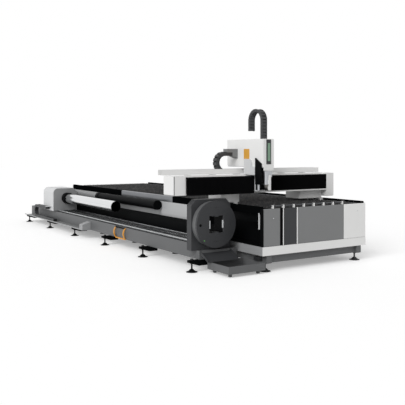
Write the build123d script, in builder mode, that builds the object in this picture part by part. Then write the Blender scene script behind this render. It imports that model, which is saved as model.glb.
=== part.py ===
"""Sheet and tube laser cutting machine: a flat bed under a gantry, and a tube line with two chucks.

Millimetres, +Z up, on the floor. X runs along the gantry and Y along the beds, front to rear.
Places are worked out from the flat bed's front left corner.
"""

import os
from math import atan2, cos, degrees, pi, radians, sin

from build123d import *

os.makedirs("parts", exist_ok=True)

# Overall reach, from the flat bed's front left corner
bed_width = 2180
bed_length = 7830
left_reach = 1120  # cable tray's end, out past the bed's left side
front_reach = 30  # collecting tray's front, ahead of the bed
tube_bed_rear = 8900  # tube bed's rear end, behind the bed's front
bed_left = (left_reach - bed_width) / 2
bed_front = (front_reach - tube_bed_rear) / 2

# Heights of the flat bed
skirt_bottom = 254
skirt_top = 386
wall_top = 870
front_top = 955
saddle_bottom = 1000
beam_bottom = 1165

# Clearances
cut_overrun = 5  # how far a cutting shape passes the face it cuts
seam = 2  # open joint between neighbouring cover panels
slide_gap = 0.5  # between a rail and its block
jaw_gap = 0.3  # between a jaw and its slot, and a jaw and its tube
running_fit = 0.05  # radial, shaft in bore

# Flat bed base and feet
base_tube_width = 100
base_tube_height = 124
base_inset = 90  # outer face of the side tubes, in from the bed's sides
foot_end_inset = 120
foot_rows = 5
pad_radius = 60
pad_sides = 10
pad_rim = 12
pad_flare = 46  # height at which the flare meets the stud
stud_radius = 14
stud_sides = 6
foot_bracket_bottom = 168
foot_bracket_top = 230
foot_bracket_length = 100
floor_plate = 6

# Walls and front panels
skirt_thickness = 20
wall_thickness = 30
end_wall_thickness = 40
panel_thickness = 12
niche_depth = 220
niche_length = 2060
panel_corner = 6
corner_strip = 24
grey_panel_width = 315
dark_panel_start = 422
dark_panel_width = 242
main_panel_start = 700
right_panel_width = 499
right_panel_start = bed_width - right_panel_width
main_panel_width = right_panel_start - main_panel_start - 2 * seam

# Rail beams, rails, guards and slats
rail_beam_inset = 40
rail_beam_width = 180
rail_beam_bottom = 740
rail_beam_top = 930
ledge_width = 40
ledge_thickness = 20
ledge_top = 855
rail_width = 40
rail_height = 30
rail_chamfer = 4
left_rail_inset = 130  # rail centre, in from the bed's left side
right_rail_inset = 180
guard_top = 985
guard_fold = 10
guard_rear_start = 4900
guard_middle_start = 2700
slat_count = 45
slat_thickness = 6
slat_tip = 975
slat_tooth = 36
slat_teeth = 5
slat_end_gap = 4
slat_end_inset = 180

# Loading rollers on the front edge
roller_count = 8
first_roller = 209
last_roller = 522  # in from the bed's right side
roller_pitch = (bed_width - first_roller - last_roller) / (roller_count - 1)
roller_radius = 32
roller_sides = 12
roller_journal = 8
roller_journal_radius = 10
roller_width = 26
roller_axis_height = 990
roller_axis_inset = 26  # behind the bed's front
roller_shaft_radius = 8
roller_shaft_end = 20
bracket_thickness = 16
bracket_depth = 36
bracket_head = 12  # the bracket's fork stands this far above the shaft's middle
bracket_gap = 3
fork_corner = 5

# Dust duct on the bed's left wall
duct_radius = 85
duct_axis_out = 100
duct_axis_height = 800
duct_start = 3090
duct_collar_start = 5790
duct_collar_length = 120
duct_collar_rise = 8
duct_cap_length = 60
duct_cap_rise = 6
clamp_width = 40
clamp_half_height = 40
clamp_count = 4
clamp_inset = 300

# Tube line
tube_axis_out = 460
tube_axis_height = 706
tube_axis_x = bed_left - tube_axis_out
tube_bed_start = 620
tube_bed_outer = 720
tube_bed_inner = 30
tube_bed_bottom = 180
tube_bed_top = 400
tube_bed_notch = 312  # height of the bed's front step, under the chuck
tube_rail_outer = 640
tube_rail_inner = 290
tube_rack_width = 40
tube_rack_height = 25
tube_rail_clear = 40  # rails stop this far from the chuck plate and the bed's rear
raised_beam_outer = 130
raised_beam_width = 80
raised_beam_top = 600
raised_beam_start = 900
raised_beam_end = 200  # stops short of the tube bed's rear
raised_rail_width = 30
raised_rail_height = 20
tube_foot_rows = 6
first_tube_foot = 660
last_tube_foot = 170  # in from the tube bed's rear
outer_foot_out = 830
inner_foot_out = 150
arm_thickness = 70
arm_reach = 62  # past the foot's centre
arm_tip = 36
arm_root = 90
arm_root_out = 560

# Chain trough and guard hoops
trough_start = 5060
trough_width = 180
trough_wall_height = 22
trough_sheet = 6
trough_lip = 14
trough_end_length = 180
trough_end_outer = 115
trough_end_inner = 170
hoop_share = 0.7  # of the way from the second foot row to the third
hoop_spacing = 410
hoop_bar = 34
hoop_thickness = 16
hoop_bottom = 170
hoop_top = 395
hoop_reach = 52
hoop_bar_height = 22

# Front chuck, chute and collecting tray
chuck_plate_start = 690
chuck_plate_thickness = 130
chuck_plate_half_width = 360
chuck_plate_top = 1080
chuck_plate_corner = 85
spindle_outer = 215
spindle_length = 215
plate_bore_gap = 5
drum_radius = 345
disc_radius = 357
disc_front = 540
disc_thickness = 40
disc_back_gap = 0.5
window = 262
disc_hole_radius = 12
disc_hole_out = 290
disc_hole_sides = 8
front_jaw_width = 60
front_jaw_length = 125
front_jaw_depth = 26
front_jaw_clear = 6  # from an open jaw's pad to the tube
front_slot_end = 258
jaw_pad_thickness = 14
jaw_pad_width = 120
jaw_pad_depth = 25
jaw_pad_step = 30  # the upright pair's pads lie this much deeper, so that the pads can pass
chute_width = 560
chute_inner = 150
chute_top = 270
chute_foot = 165
chute_reach = 215
chute_sheet = 6
chute_flange = 40
tray_under_bed = 30  # reaches this far under the flat bed's edge
tray_width = 665
tray_length = 560
tray_bottom = 50
tray_top = 160
tray_sheet = 5
tray_leg = 40
tray_leg_inset = 60

# Rear chuck and the tube in it
rear_start = 7000
rear_length = 720
rear_outer = 790
rear_inner = 205
rear_top = 944
rear_skirt = 412
rear_round = 110
rear_corner = 90
rear_sheet = 22
rear_pocket_gap = 2
rear_rail_clear = 440
carriage_plate_bottom = 442
carriage_plate_thickness = 25
block_width = 90
block_length = 150
hub_radius = 130
hub_length = 160
rear_spindle_radius = 60
rear_spindle_length = 200
stock_radius = 110
stock_wall = 5
stock_length = 2650
rear_jaw_width = 40
rear_jaw_thickness = 18
rear_jaw_reach = 60
rear_jaw_foot = 30
rear_jaw_foot_inner = 75
rear_slot_inner = 58
chain_arm_sheet = 10
chain_arm_length = 110
chain_arm_reach = 110

# Gantry
beam_left = 880  # out past the bed's left side
right_cover_width = 170
beam_right = bed_width - right_cover_width
beam_front = 840
beam_rear = 1060
beam_top = 1420
beam_edge = 10
beam_lid = 20
beam_lid_inset = 20
beam_flange = 20
beam_flange_rear = 860
x_rail_size = 30
x_rail_depth = 25
x_rail_inset = 35
left_cover_width = 210
left_cover_bottom = 1148
right_cover_bottom = 1030
cover_front = 750
cover_top = 1440
cover_edge = 16
left_saddle_start = -160
left_saddle_end = 205
right_saddle_width = 522
right_saddle_gap = 4
saddle_front = 862
saddle_rear = 1240
saddle_edge = 12
saddle_block_width = 70
saddle_block_length = 120
saddle_block_bottom = 938
tray_channel_front = 1050
tray_channel_depth = 140
tray_channel_bottom = 1446
tray_channel_top = 1530
tray_channel_inset = 80  # cable tray's end, in from the bed's right side
tray_channel_sheet = 4
tray_arm_count = 6
tray_arm_width = 40
tray_arm_inset = 250
tray_arm_seat = 16
bellows_front = 752
bellows_depth = 50
bellows_sheet = 6
bellows_pitch = 40
bellows_gap = 4

# Carriage and cutting head
carriage_start = 310
carriage_neck_start = 400
carriage_neck_top = 1440
carriage_end = 560
carriage_front = 600
carriage_back = 806
carriage_bottom = 1172
cover_start = 330
cover_end = 540
head_cover_front = 400
head_cover_rear = 1390
head_cover_bottom = 1574
head_cover_top = 2015
head_cover_edge = 14
shelf_thickness = 14
x_block_length = 200
x_block_height = 64
cheek_front = 690
cheek_rear = 890
cheek_bottom = 1450
cheek_top = 1694
cheek_round = 70
cheek_gap = 1  # between the cheeks and the head cover
slide_cover_end = 520
slide_cover_front = 560
slide_cover_bottom = 1200
slide_cover_top = 1556
blade_start = 305
blade_front = 433
blade_rear = 585
blade_bottom = 1290
blade_low = 1618  # top of its front edge
blade_high = 1711  # top of its rear edge
head_x = 435
head_y = 470
slide_half_width = 70
slide_thickness = 28
slide_bottom = 1290
slide_top = 1500
slide_groove = 8
slide_tongue = 20
head_radius = 48
head_collar = 56
head_top = 1505
head_clamp_half = 40
head_clamp_bottom = 1330
head_clamp_top = 1470
sensor_reach = 92
sensor_half_depth = 36
sensor_bottom = 1408
nozzle_top = 1290
nozzle_tip = 1190
nozzle_tip_radius = 9
nozzle_neck = 30
nozzle_cone = 48
nozzle_seat = 43
head_sides = 24
chain_bracket_start = 110
chain_bracket_y = 1140
chain_bracket_bottom = 1700
chain_bracket_shoulder = 1738
chain_bracket_top = 1856
chain_bracket_half_depth = 50
chain_seat_gap = 12

# Drag chains
link_gap = 4
x_chain_pitch = 60
x_chain_height = 56
x_chain_width = 90
x_chain_radius = 150
x_chain_low = 1482
x_chain_bend = 78  # bend's centre, right of the bed's left side
x_chain_end = 1130
x_chain_start = 228
z_chain_pitch = 52
z_chain_height = 50
z_chain_width = 100
z_chain_front = 527
z_chain_radius = 160
z_chain_rise = 300  # from the head cover's top to the bend
z_chain_drop = 165  # from the bend to the chain's loose end
rear_chain_pitch = 80
rear_chain_height = 64
rear_chain_width = 90
rear_chain_radius = 125
rear_chain_bend = 8020
rear_chain_low = 222
rear_chain_start = 6740
rear_chain_end = 7260
rear_chain_out = 838

LOW = (Align.MIN, Align.MIN, Align.MIN)


def span_box(x, y, z, mode=Mode.ADD):
    """A block between two faces in each direction, given from the flat bed's corner."""
    with Locations((bed_left + x[0], bed_front + y[0], z[0])):
        return Box(x[1] - x[0], y[1] - y[0], z[1] - z[0], align=LOW, mode=mode)


def finish(builder, name):
    """Label a finished piece and write it."""
    builder.part.label = name
    export_step(builder.part, f"parts/{name}.step")


def levelling_foot(height):
    """A flared pad with its stud: a rim, a flare drawn in to a collar, and the stud up to the height."""
    flare = degrees(atan2(pad_radius - 2 * stud_radius, pad_flare - pad_rim))
    with BuildPart() as foot:
        with BuildSketch():
            RegularPolygon(pad_radius, pad_sides)
        extrude(amount=pad_rim)
        with BuildSketch(Plane.XY.offset(pad_rim)):
            RegularPolygon(pad_radius, pad_sides)
        extrude(amount=pad_flare - pad_rim, taper=flare)
        with BuildSketch(Plane.XY.offset(pad_flare)):
            RegularPolygon(stud_radius, stud_sides)
        extrude(amount=height - pad_flare)
    return foot.part


def chain_links(pitch, height, runs):
    """Drag chain links end to end: each run is (start, heading, length, turn), angles in degrees.

    Gives each link's place, angle and length. Links on a bend are shorter, so that their inner
    corners stay apart.
    """
    links = []
    for (along, up), heading, length, turn in runs:
        count = round(length / pitch)
        step = length / count
        for i in range(count):
            share = (i + 0.5) / count
            angle = heading + turn * share
            if turn == 0:
                reach = length * share
                place = (along + reach * cos(radians(heading)), up + reach * sin(radians(heading)))
                link = step
            else:
                radius = length / radians(abs(turn))
                side = 90 if turn > 0 else -90
                inward = radians(heading + side)
                spoke = radians(angle - side)
                place = (
                    along + radius * (cos(inward) + cos(spoke)), up + radius * (sin(inward) + sin(spoke))
                )
                link = step * (1 - height / (2 * radius))
            links.append((*place, angle, link - link_gap))
    return links


# Flat bed: base frame, feet and floor
base_bottom = skirt_bottom - base_tube_height
foot_pitch = (bed_length - 2 * foot_end_inset) / (foot_rows - 1)
foot_places = [foot_end_inset + foot_pitch * i for i in range(foot_rows)]
left_tube = (base_inset, base_inset + base_tube_width)
right_tube = (bed_width - base_inset - base_tube_width, bed_width - base_inset)

with BuildPart() as base_frame:
    for tube in (left_tube, right_tube):
        span_box(tube, (skirt_thickness, bed_length - skirt_thickness), (base_bottom, skirt_bottom))
    for place in foot_places:
        half = base_tube_width / 2
        span_box((left_tube[1], right_tube[0]), (place - half, place + half), (base_bottom, skirt_bottom))
finish(base_frame, "base_frame")

with BuildPart() as bed_feet:
    for tube in (left_tube, right_tube):
        middle = bed_left + (tube[0] + tube[1]) / 2
        with Locations([(middle, bed_front + place, 0) for place in foot_places]):
            add(levelling_foot(base_bottom))
    for place in foot_places:
        for outside in ((0, left_tube[0]), (right_tube[1], bed_width)):
            span_box(
                outside, (place, place + foot_bracket_length), (foot_bracket_bottom, foot_bracket_top)
            )
finish(bed_feet, "bed_feet")

with BuildPart() as bed_floor:
    span_box(
        (skirt_thickness + seam, bed_width - skirt_thickness - seam),
        (skirt_thickness + seam, bed_length - skirt_thickness - seam),
        (skirt_bottom, skirt_bottom + floor_plate),
    )
finish(bed_floor, "bed_floor")

with BuildPart() as skirt:
    side_span = (skirt_thickness + seam, bed_length - skirt_thickness - seam)
    height = (skirt_bottom, skirt_top)
    span_box((0, bed_width), (0, skirt_thickness), height)
    span_box((0, bed_width), (bed_length - skirt_thickness, bed_length), height)
    span_box((0, skirt_thickness), side_span, height)
    span_box((bed_width - skirt_thickness, bed_width), side_span, height)
finish(skirt, "skirt")

# Walls: the left one steps in round the niche at its front
inside_span = (end_wall_thickness, bed_length - end_wall_thickness)
with BuildPart() as left_wall:
    span_box((0, wall_thickness), (niche_length, inside_span[1]), (skirt_top, wall_top))
    span_box(
        (wall_thickness, niche_depth), (niche_length, niche_length + wall_thickness),
        (skirt_top, rail_beam_bottom),
    )
    span_box(
        (niche_depth, niche_depth + wall_thickness), (inside_span[0], niche_length + wall_thickness),
        (skirt_top, rail_beam_bottom),
    )
    span_box(
        (skirt_thickness, niche_depth + wall_thickness), (inside_span[0], niche_length + wall_thickness),
        (skirt_top - floor_plate, skirt_top),
    )
finish(left_wall, "left_wall")

with BuildPart() as right_wall:
    span_box((bed_width - wall_thickness, bed_width), inside_span, (skirt_top, wall_top))
finish(right_wall, "right_wall")

with BuildPart() as rear_wall:
    span_box((0, bed_width), (bed_length - end_wall_thickness, bed_length), (skirt_top, front_top))
    chamfer(rear_wall.edges().group_by(Axis.Y)[-1].filter_by(Axis.X).sort_by(Axis.Z)[-1], panel_corner)
finish(rear_wall, "rear_wall")


def front_panel(start, width):
    """A cover panel on the bed's front, with its outer edges broken."""
    span_box((start, start + width), (0, panel_thickness), (skirt_top + seam, front_top - seam))


with BuildPart() as front_grey_panels:
    front_panel(corner_strip, grey_panel_width)
    front_panel(main_panel_start, main_panel_width)
    chamfer(front_grey_panels.faces().group_by(Axis.Y)[0].edges(), panel_corner)
finish(front_grey_panels, "front_grey_panels")

with BuildPart() as front_dark_panel:
    front_panel(dark_panel_start, dark_panel_width)
    chamfer(front_dark_panel.faces().sort_by(Axis.Y)[0].edges(), panel_corner)
finish(front_dark_panel, "front_dark_panel")

with BuildPart() as front_right_panel:
    front_panel(right_panel_start, bed_width - right_panel_start)
    chamfer(front_right_panel.faces().sort_by(Axis.Y)[0].edges(), panel_corner)
finish(front_right_panel, "front_right_panel")

# Rail beams: a box beam with its linear rail on top and the slats' ledge on its inner side
beam_span = (end_wall_thickness, bed_length - end_wall_thickness)
left_beam_inner = rail_beam_inset + rail_beam_width
right_beam_inner = bed_width - rail_beam_inset - rail_beam_width
ledge_height = (ledge_top - ledge_thickness, ledge_top)


def linear_rail(centre, span, base):
    """A linear rail with its two top edges broken."""
    with BuildPart() as rail:
        with BuildSketch(Plane.XZ.offset(-bed_front - span[1])):
            with Locations((bed_left + centre, base + rail_height / 2)):
                section = Rectangle(rail_width, rail_height)
            chamfer(section.vertices().group_by(Axis.Y)[-1], rail_chamfer)
        extrude(amount=span[1] - span[0])
    return rail.part


left_rail = linear_rail(left_rail_inset, beam_span, rail_beam_top)
right_rail = linear_rail(bed_width - right_rail_inset, beam_span, rail_beam_top)

with BuildPart() as left_rail_beam:
    span_box((rail_beam_inset, left_beam_inner), beam_span, (rail_beam_bottom, rail_beam_top))
    span_box((left_beam_inner, left_beam_inner + ledge_width), beam_span, ledge_height)
    add(left_rail)
finish(left_rail_beam, "left_rail_beam")

with BuildPart() as right_rail_beam:
    span_box((right_beam_inner, bed_width - rail_beam_inset), beam_span, (rail_beam_bottom, rail_beam_top))
    span_box((right_beam_inner - ledge_width, right_beam_inner), beam_span, ledge_height)
    add(right_rail)
finish(right_rail_beam, "right_rail_beam")

# Rail guards: folded covers standing on the walls, against the beams
guard_height = (wall_top, guard_top)


def guard_cover(start, end):
    """A left guard over one stretch, with its outer top edge folded over."""
    span_box((0, rail_beam_inset), (start, end), guard_height)


with BuildPart() as left_guard_black:
    guard_cover(beam_span[0], guard_middle_start - seam)
    guard_cover(guard_rear_start + seam, beam_span[1])
    chamfer(
        left_guard_black.edges().filter_by(Axis.Y).group_by(Axis.Z)[-1].group_by(Axis.X)[0], guard_fold
    )
finish(left_guard_black, "left_guard_black")

with BuildPart() as left_guard_steel:
    guard_cover(guard_middle_start, guard_rear_start)
    chamfer(left_guard_steel.edges().filter_by(Axis.Y).group_by(Axis.Z)[-1].sort_by(Axis.X)[0], guard_fold)
finish(left_guard_steel, "left_guard_steel")

with BuildPart() as right_guard:
    span_box((bed_width - rail_beam_inset, bed_width), beam_span, guard_height)
    chamfer(right_guard.edges().filter_by(Axis.Y).group_by(Axis.Z)[-1].sort_by(Axis.X)[-1], guard_fold)
finish(right_guard, "right_guard")

# Slats: upright saw-toothed strips across the bed, resting on both ledges
slat_start = left_beam_inner + slat_end_gap
slat_length = right_beam_inner - slat_end_gap - slat_start
tooth_pitch = slat_length / slat_teeth
slat_pitch = (bed_length - 2 * slat_end_inset) / (slat_count - 1)
root_height = slat_tip - slat_tooth

with BuildPart() as slat:
    with BuildSketch(Plane.XZ):
        with BuildLine():
            outline = [(0, ledge_top), (0, root_height)]
            for i in range(slat_teeth):
                outline.append(((i + 0.5) * tooth_pitch, slat_tip))
                outline.append(((i + 1) * tooth_pitch, root_height))
            outline.append((slat_length, ledge_top))
            Polyline(*outline, close=True)
        make_face()
    extrude(amount=slat_thickness)

with BuildPart() as slats:
    slat_places = [bed_front + slat_end_inset + slat_pitch * i for i in range(slat_count)]
    with Locations([(bed_left + slat_start, place, 0) for place in slat_places]):
        add(slat.part)
finish(slats, "slats")

# Front frame with the loading rollers' brackets, and one shaft with the wheels pressed on
roller_places = [first_roller + roller_pitch * i for i in range(roller_count)]
wheel_offset = bracket_thickness / 2 + bracket_gap

with BuildPart() as front_frame:
    span_box((0, bed_width), (panel_thickness, end_wall_thickness), (skirt_top, front_top))
    for place in roller_places:
        with BuildSketch(Plane.YZ.offset(bed_left + place - bracket_thickness / 2)):
            fork_top = roller_axis_height + bracket_head
            seat = roller_axis_height - roller_shaft_radius - running_fit
            with Locations((bed_front + roller_axis_inset, (front_top + fork_top) / 2)):
                fork = Rectangle(bracket_depth, fork_top - front_top)
            chamfer(fork.vertices().group_by(Axis.Y)[-1], fork_corner)
            with Locations((bed_front + roller_axis_inset, (seat + fork_top + cut_overrun) / 2)):
                slot_width = 2 * (roller_shaft_radius + running_fit)
                Rectangle(slot_width, fork_top + cut_overrun - seat, mode=Mode.SUBTRACT)
        extrude(amount=bracket_thickness)
finish(front_frame, "front_frame")

with BuildPart() as loading_shaft:
    shaft_start = roller_places[0] - wheel_offset - roller_shaft_end
    shaft_end = roller_places[-1] + wheel_offset + roller_width + roller_shaft_end
    with BuildSketch(Plane.YZ.offset(bed_left + shaft_start)):
        with Locations((bed_front + roller_axis_inset, roller_axis_height)):
            RegularPolygon(roller_shaft_radius, roller_sides)
    extrude(amount=shaft_end - shaft_start)
    for journal in (shaft_start - roller_journal, shaft_end):
        with BuildSketch(Plane.YZ.offset(bed_left + journal)):
            with Locations((bed_front + roller_axis_inset, roller_axis_height)):
                Circle(roller_journal_radius)
        extrude(amount=roller_journal)
    for place in roller_places:
        with BuildSketch(Plane.YZ.offset(bed_left + place + wheel_offset)):
            with Locations((bed_front + roller_axis_inset, roller_axis_height)):
                RegularPolygon(roller_radius, roller_sides)
        extrude(amount=roller_width)
finish(loading_shaft, "loading_shaft")

# Dust duct along the left wall: capped front end, one collar, clamps to the wall


def duct_ring(radius, start, length):
    """A round stretch of the duct, given from the bed's front."""
    with Locations((bed_left - duct_axis_out, bed_front + start + length / 2, duct_axis_height)):
        Cylinder(radius, length, rotation=(90, 0, 0))


with BuildPart() as dust_duct:
    duct_ring(duct_radius, duct_start, bed_length - duct_start)
    duct_ring(duct_radius + duct_cap_rise, duct_start, duct_cap_length)
    duct_ring(duct_radius + duct_collar_rise, duct_collar_start, duct_collar_length)
    clamp_pitch = (bed_length - duct_start - 2 * clamp_inset) / (clamp_count - 1)
    for i in range(clamp_count):
        place = duct_start + clamp_inset + clamp_pitch * i
        span_box(
            (-duct_axis_out, 0), (place, place + clamp_width),
            (duct_axis_height - clamp_half_height, duct_axis_height + clamp_half_height),
        )
finish(dust_duct, "dust_duct")

# Tube bed: a long box with a step at its front, its rails and rack, and the raised beam
tube_rail_start = chuck_plate_start + chuck_plate_thickness + tube_rail_clear
tube_rail_span = (tube_rail_start, tube_bed_rear - tube_rail_clear)

with BuildPart() as tube_bed:
    span_box(
        (-tube_bed_outer, -tube_bed_inner), (tube_bed_start, tube_bed_rear), (tube_bed_bottom, tube_bed_top)
    )
    span_box(
        (-tube_bed_outer - cut_overrun, -tube_bed_inner + cut_overrun),
        (tube_bed_start - cut_overrun, chuck_plate_start + chuck_plate_thickness),
        (tube_bed_notch, tube_bed_top + cut_overrun),
        mode=Mode.SUBTRACT,
    )
    chamfer(tube_bed.edges().filter_by(Axis.Y).group_by(Axis.Z)[-1], panel_corner)
finish(tube_bed, "tube_bed")

outer_tube_rail = linear_rail(-tube_rail_outer, tube_rail_span, tube_bed_top)
inner_tube_rail = linear_rail(-tube_rail_inner, tube_rail_span, tube_bed_top)
rack_middle = (tube_rail_outer + tube_rail_inner) / 2

with BuildPart() as tube_rails:
    add(outer_tube_rail)
    add(inner_tube_rail)
    span_box(
        (-rack_middle - tube_rack_width / 2, -rack_middle + tube_rack_width / 2), tube_rail_span,
        (tube_bed_top, tube_bed_top + tube_rack_height),
    )
finish(tube_rails, "tube_rails")

raised_span = (raised_beam_start, tube_bed_rear - raised_beam_end)
raised_middle = -raised_beam_outer + raised_beam_width / 2

with BuildPart() as raised_beam:
    span_box(
        (-raised_beam_outer, -raised_beam_outer + raised_beam_width), raised_span,
        (tube_bed_top, raised_beam_top),
    )
    span_box(
        (raised_middle - raised_rail_width / 2, raised_middle + raised_rail_width / 2), raised_span,
        (raised_beam_top, raised_beam_top + raised_rail_height),
    )
finish(raised_beam, "raised_beam")

tube_foot_pitch = (tube_bed_rear - last_tube_foot - first_tube_foot) / (tube_foot_rows - 1)
tube_foot_places = [first_tube_foot + tube_foot_pitch * i for i in range(tube_foot_rows)]

with BuildPart() as tube_feet:
    for place in tube_foot_places:
        with BuildSketch(Plane.XZ.offset(-bed_front - place - arm_thickness / 2)):
            with BuildLine():
                Polyline(
                    (bed_left - arm_root_out, tube_bed_bottom),
                    (bed_left - outer_foot_out - arm_reach, tube_bed_bottom),
                    (bed_left - outer_foot_out - arm_reach, tube_bed_bottom - arm_tip),
                    (bed_left - tube_bed_outer, tube_bed_bottom - arm_root),
                    (bed_left - arm_root_out, tube_bed_bottom - arm_root),
                    close=True,
                )
            make_face()
        extrude(amount=arm_thickness)
    with Locations([(bed_left - outer_foot_out, bed_front + place, 0) for place in tube_foot_places]):
        add(levelling_foot(tube_bed_bottom - arm_tip))
    with Locations([(bed_left - inner_foot_out, bed_front + place, 0) for place in tube_foot_places]):
        add(levelling_foot(tube_bed_bottom))
finish(tube_feet, "tube_feet")

# Chain trough on the outer side, on the foot arms: floor, low lip and a sloped end block
trough_outer = tube_bed_outer + trough_width
trough_top = tube_bed_bottom + trough_wall_height

with BuildPart() as trough_floor:
    span_box(
        (-trough_outer + trough_sheet, -tube_bed_outer), (trough_start, tube_bed_rear),
        (tube_bed_bottom, tube_bed_bottom + trough_sheet),
    )
finish(trough_floor, "trough_floor")

with BuildPart() as trough_wall:
    span_box(
        (-trough_outer, -trough_outer + trough_sheet), (trough_start, tube_bed_rear),
        (tube_bed_bottom, trough_top),
    )
    span_box(
        (-trough_outer + trough_sheet, -trough_outer + trough_lip), (trough_start, tube_bed_rear),
        (trough_top - trough_sheet, trough_top),
    )
    with BuildSketch(Plane.XZ.offset(-bed_front - trough_start)):
        with BuildLine():
            Polyline(
                (bed_left - trough_outer, tube_bed_bottom),
                (bed_left - tube_bed_outer, tube_bed_bottom),
                (bed_left - tube_bed_outer, tube_bed_bottom + trough_end_inner),
                (bed_left - trough_outer, tube_bed_bottom + trough_end_outer),
                close=True,
            )
        make_face()
    extrude(amount=trough_end_length)
finish(trough_wall, "trough_wall")

# Guard on the outer wall: two bowed hoops with a bar across the top and one across the bottom
with BuildPart() as guard_hoops:
    hoop_middle = (hoop_bottom + hoop_top) / 2
    hoop_centre = tube_foot_places[1] + hoop_share * tube_foot_pitch
    wall_x = bed_left - tube_bed_outer
    for side in (-1, 1):
        hoop_rear = hoop_centre + side * hoop_spacing / 2 + hoop_bar / 2
        with BuildSketch(Plane.XZ.offset(-bed_front - hoop_rear)):
            with BuildLine():
                ThreePointArc((wall_x, hoop_bottom), (wall_x - hoop_reach, hoop_middle), (wall_x, hoop_top))
                Line((wall_x, hoop_top), (wall_x, hoop_top - hoop_thickness))
                ThreePointArc(
                    (wall_x, hoop_top - hoop_thickness),
                    (wall_x - hoop_reach + hoop_thickness, hoop_middle),
                    (wall_x, hoop_bottom + hoop_thickness),
                )
                Line((wall_x, hoop_bottom + hoop_thickness), (wall_x, hoop_bottom))
            make_face()
        extrude(amount=hoop_bar)
    hoop_span = (hoop_centre - hoop_spacing / 2, hoop_centre + hoop_spacing / 2)
    for low in (hoop_bottom, hoop_top - hoop_bar_height):
        bar_x = (-tube_bed_outer - hoop_thickness, -tube_bed_outer)
        span_box(bar_x, hoop_span, (low, low + hoop_bar_height))
finish(guard_hoops, "guard_hoops")

# Chute from the tube bed's front into the collecting tray
with BuildPart() as chute:
    chute_left = -chute_inner - chute_width
    flange_places = (chute_left, -chute_inner - chute_sheet)
    for start, width, rise in (
        (chute_left, chute_width, chute_sheet),
        (flange_places[0], chute_sheet, chute_flange),
        (flange_places[1], chute_sheet, chute_flange),
    ):
        with BuildSketch(Plane.YZ.offset(bed_left + start)):
            with BuildLine():
                Polyline(
                    (bed_front + tube_bed_start, chute_top),
                    (bed_front + tube_bed_start - chute_reach, chute_foot),
                    (bed_front + tube_bed_start - chute_reach, chute_foot + rise),
                    (bed_front + tube_bed_start, chute_top + rise),
                    close=True,
                )
            make_face()
        extrude(amount=width)
finish(chute, "chute")

with BuildPart() as collecting_tray:
    tray_x = (tray_under_bed - tray_width, tray_under_bed)
    tray_y = (-front_reach, tray_length - front_reach)
    span_box(tray_x, tray_y, (tray_bottom, tray_top))
    span_box(
        (tray_x[0] + tray_sheet, tray_x[1] - tray_sheet), (tray_y[0] + tray_sheet, tray_y[1] - tray_sheet),
        (tray_bottom + tray_sheet, tray_top + cut_overrun), mode=Mode.SUBTRACT,
    )
    for x in (tray_x[0] + tray_leg_inset, tray_x[1] - tray_leg_inset - tray_leg):
        for y in (tray_y[0] + tray_leg_inset, tray_y[1] - tray_leg_inset - tray_leg):
            span_box((x, x + tray_leg), (y, y + tray_leg), (0, tray_bottom))
finish(collecting_tray, "collecting_tray")

# Front chuck: plate, fixed drum, turning disc with its hollow spindle, four jaws
chuck_plate_rear = bed_front + chuck_plate_start + chuck_plate_thickness
disc_face = bed_front + disc_front
drum_front = disc_face + disc_thickness + disc_back_gap

with BuildPart() as chuck_plate:
    with BuildSketch(Plane.XZ.offset(-chuck_plate_rear)):
        with Locations((tube_axis_x, (tube_bed_notch + chuck_plate_top) / 2)):
            outline = Rectangle(2 * chuck_plate_half_width, chuck_plate_top - tube_bed_notch)
        chamfer(outline.vertices().group_by(Axis.Y)[-1], chuck_plate_corner)
        with Locations((tube_axis_x, tube_axis_height)):
            Circle(spindle_outer + plate_bore_gap, mode=Mode.SUBTRACT)
    extrude(amount=chuck_plate_thickness)
finish(chuck_plate, "chuck_plate")

with BuildPart() as chuck_drum:
    with BuildSketch(Plane.XZ.offset(-bed_front - chuck_plate_start)):
        with Locations((tube_axis_x, tube_axis_height)):
            Circle(drum_radius)
            Circle(spindle_outer + running_fit, mode=Mode.SUBTRACT)
    extrude(amount=bed_front + chuck_plate_start - drum_front)
finish(chuck_drum, "chuck_drum")

jaw_angles = (0, 90, 180, 270)


def face_plane(face_y, angle):
    """A chuck's face: local x runs outward at the angle, local z points forward out of the face."""
    outward = (cos(radians(angle)), 0, sin(radians(angle)))
    return Plane(origin=(tube_axis_x, face_y, tube_axis_height), x_dir=outward, z_dir=(0, -1, 0))


with BuildPart() as chuck_disc:
    with BuildSketch(Plane.XZ.offset(-disc_face - disc_thickness)):
        with Locations((tube_axis_x, tube_axis_height)):
            Circle(disc_radius)
            Rectangle(window, window, mode=Mode.SUBTRACT)
        with Locations((tube_axis_x - disc_hole_out, tube_axis_height)):
            RegularPolygon(disc_hole_radius, disc_hole_sides, mode=Mode.SUBTRACT)
    extrude(amount=disc_thickness)
    with BuildSketch(Plane.XZ.offset(-disc_face - disc_thickness - spindle_length)):
        with Locations((tube_axis_x, tube_axis_height)):
            Circle(spindle_outer)
            Rectangle(window, window, mode=Mode.SUBTRACT)
    extrude(amount=spindle_length)
    for angle in jaw_angles:
        with BuildSketch(face_plane(disc_face, angle)):
            with Locations((front_slot_end / 2, 0)):
                Rectangle(front_slot_end, front_jaw_width + 2 * jaw_gap)
        extrude(amount=-front_jaw_depth, mode=Mode.SUBTRACT)
finish(chuck_disc, "chuck_disc")

front_jaw_open = stock_radius + front_jaw_clear + jaw_pad_thickness

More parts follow.
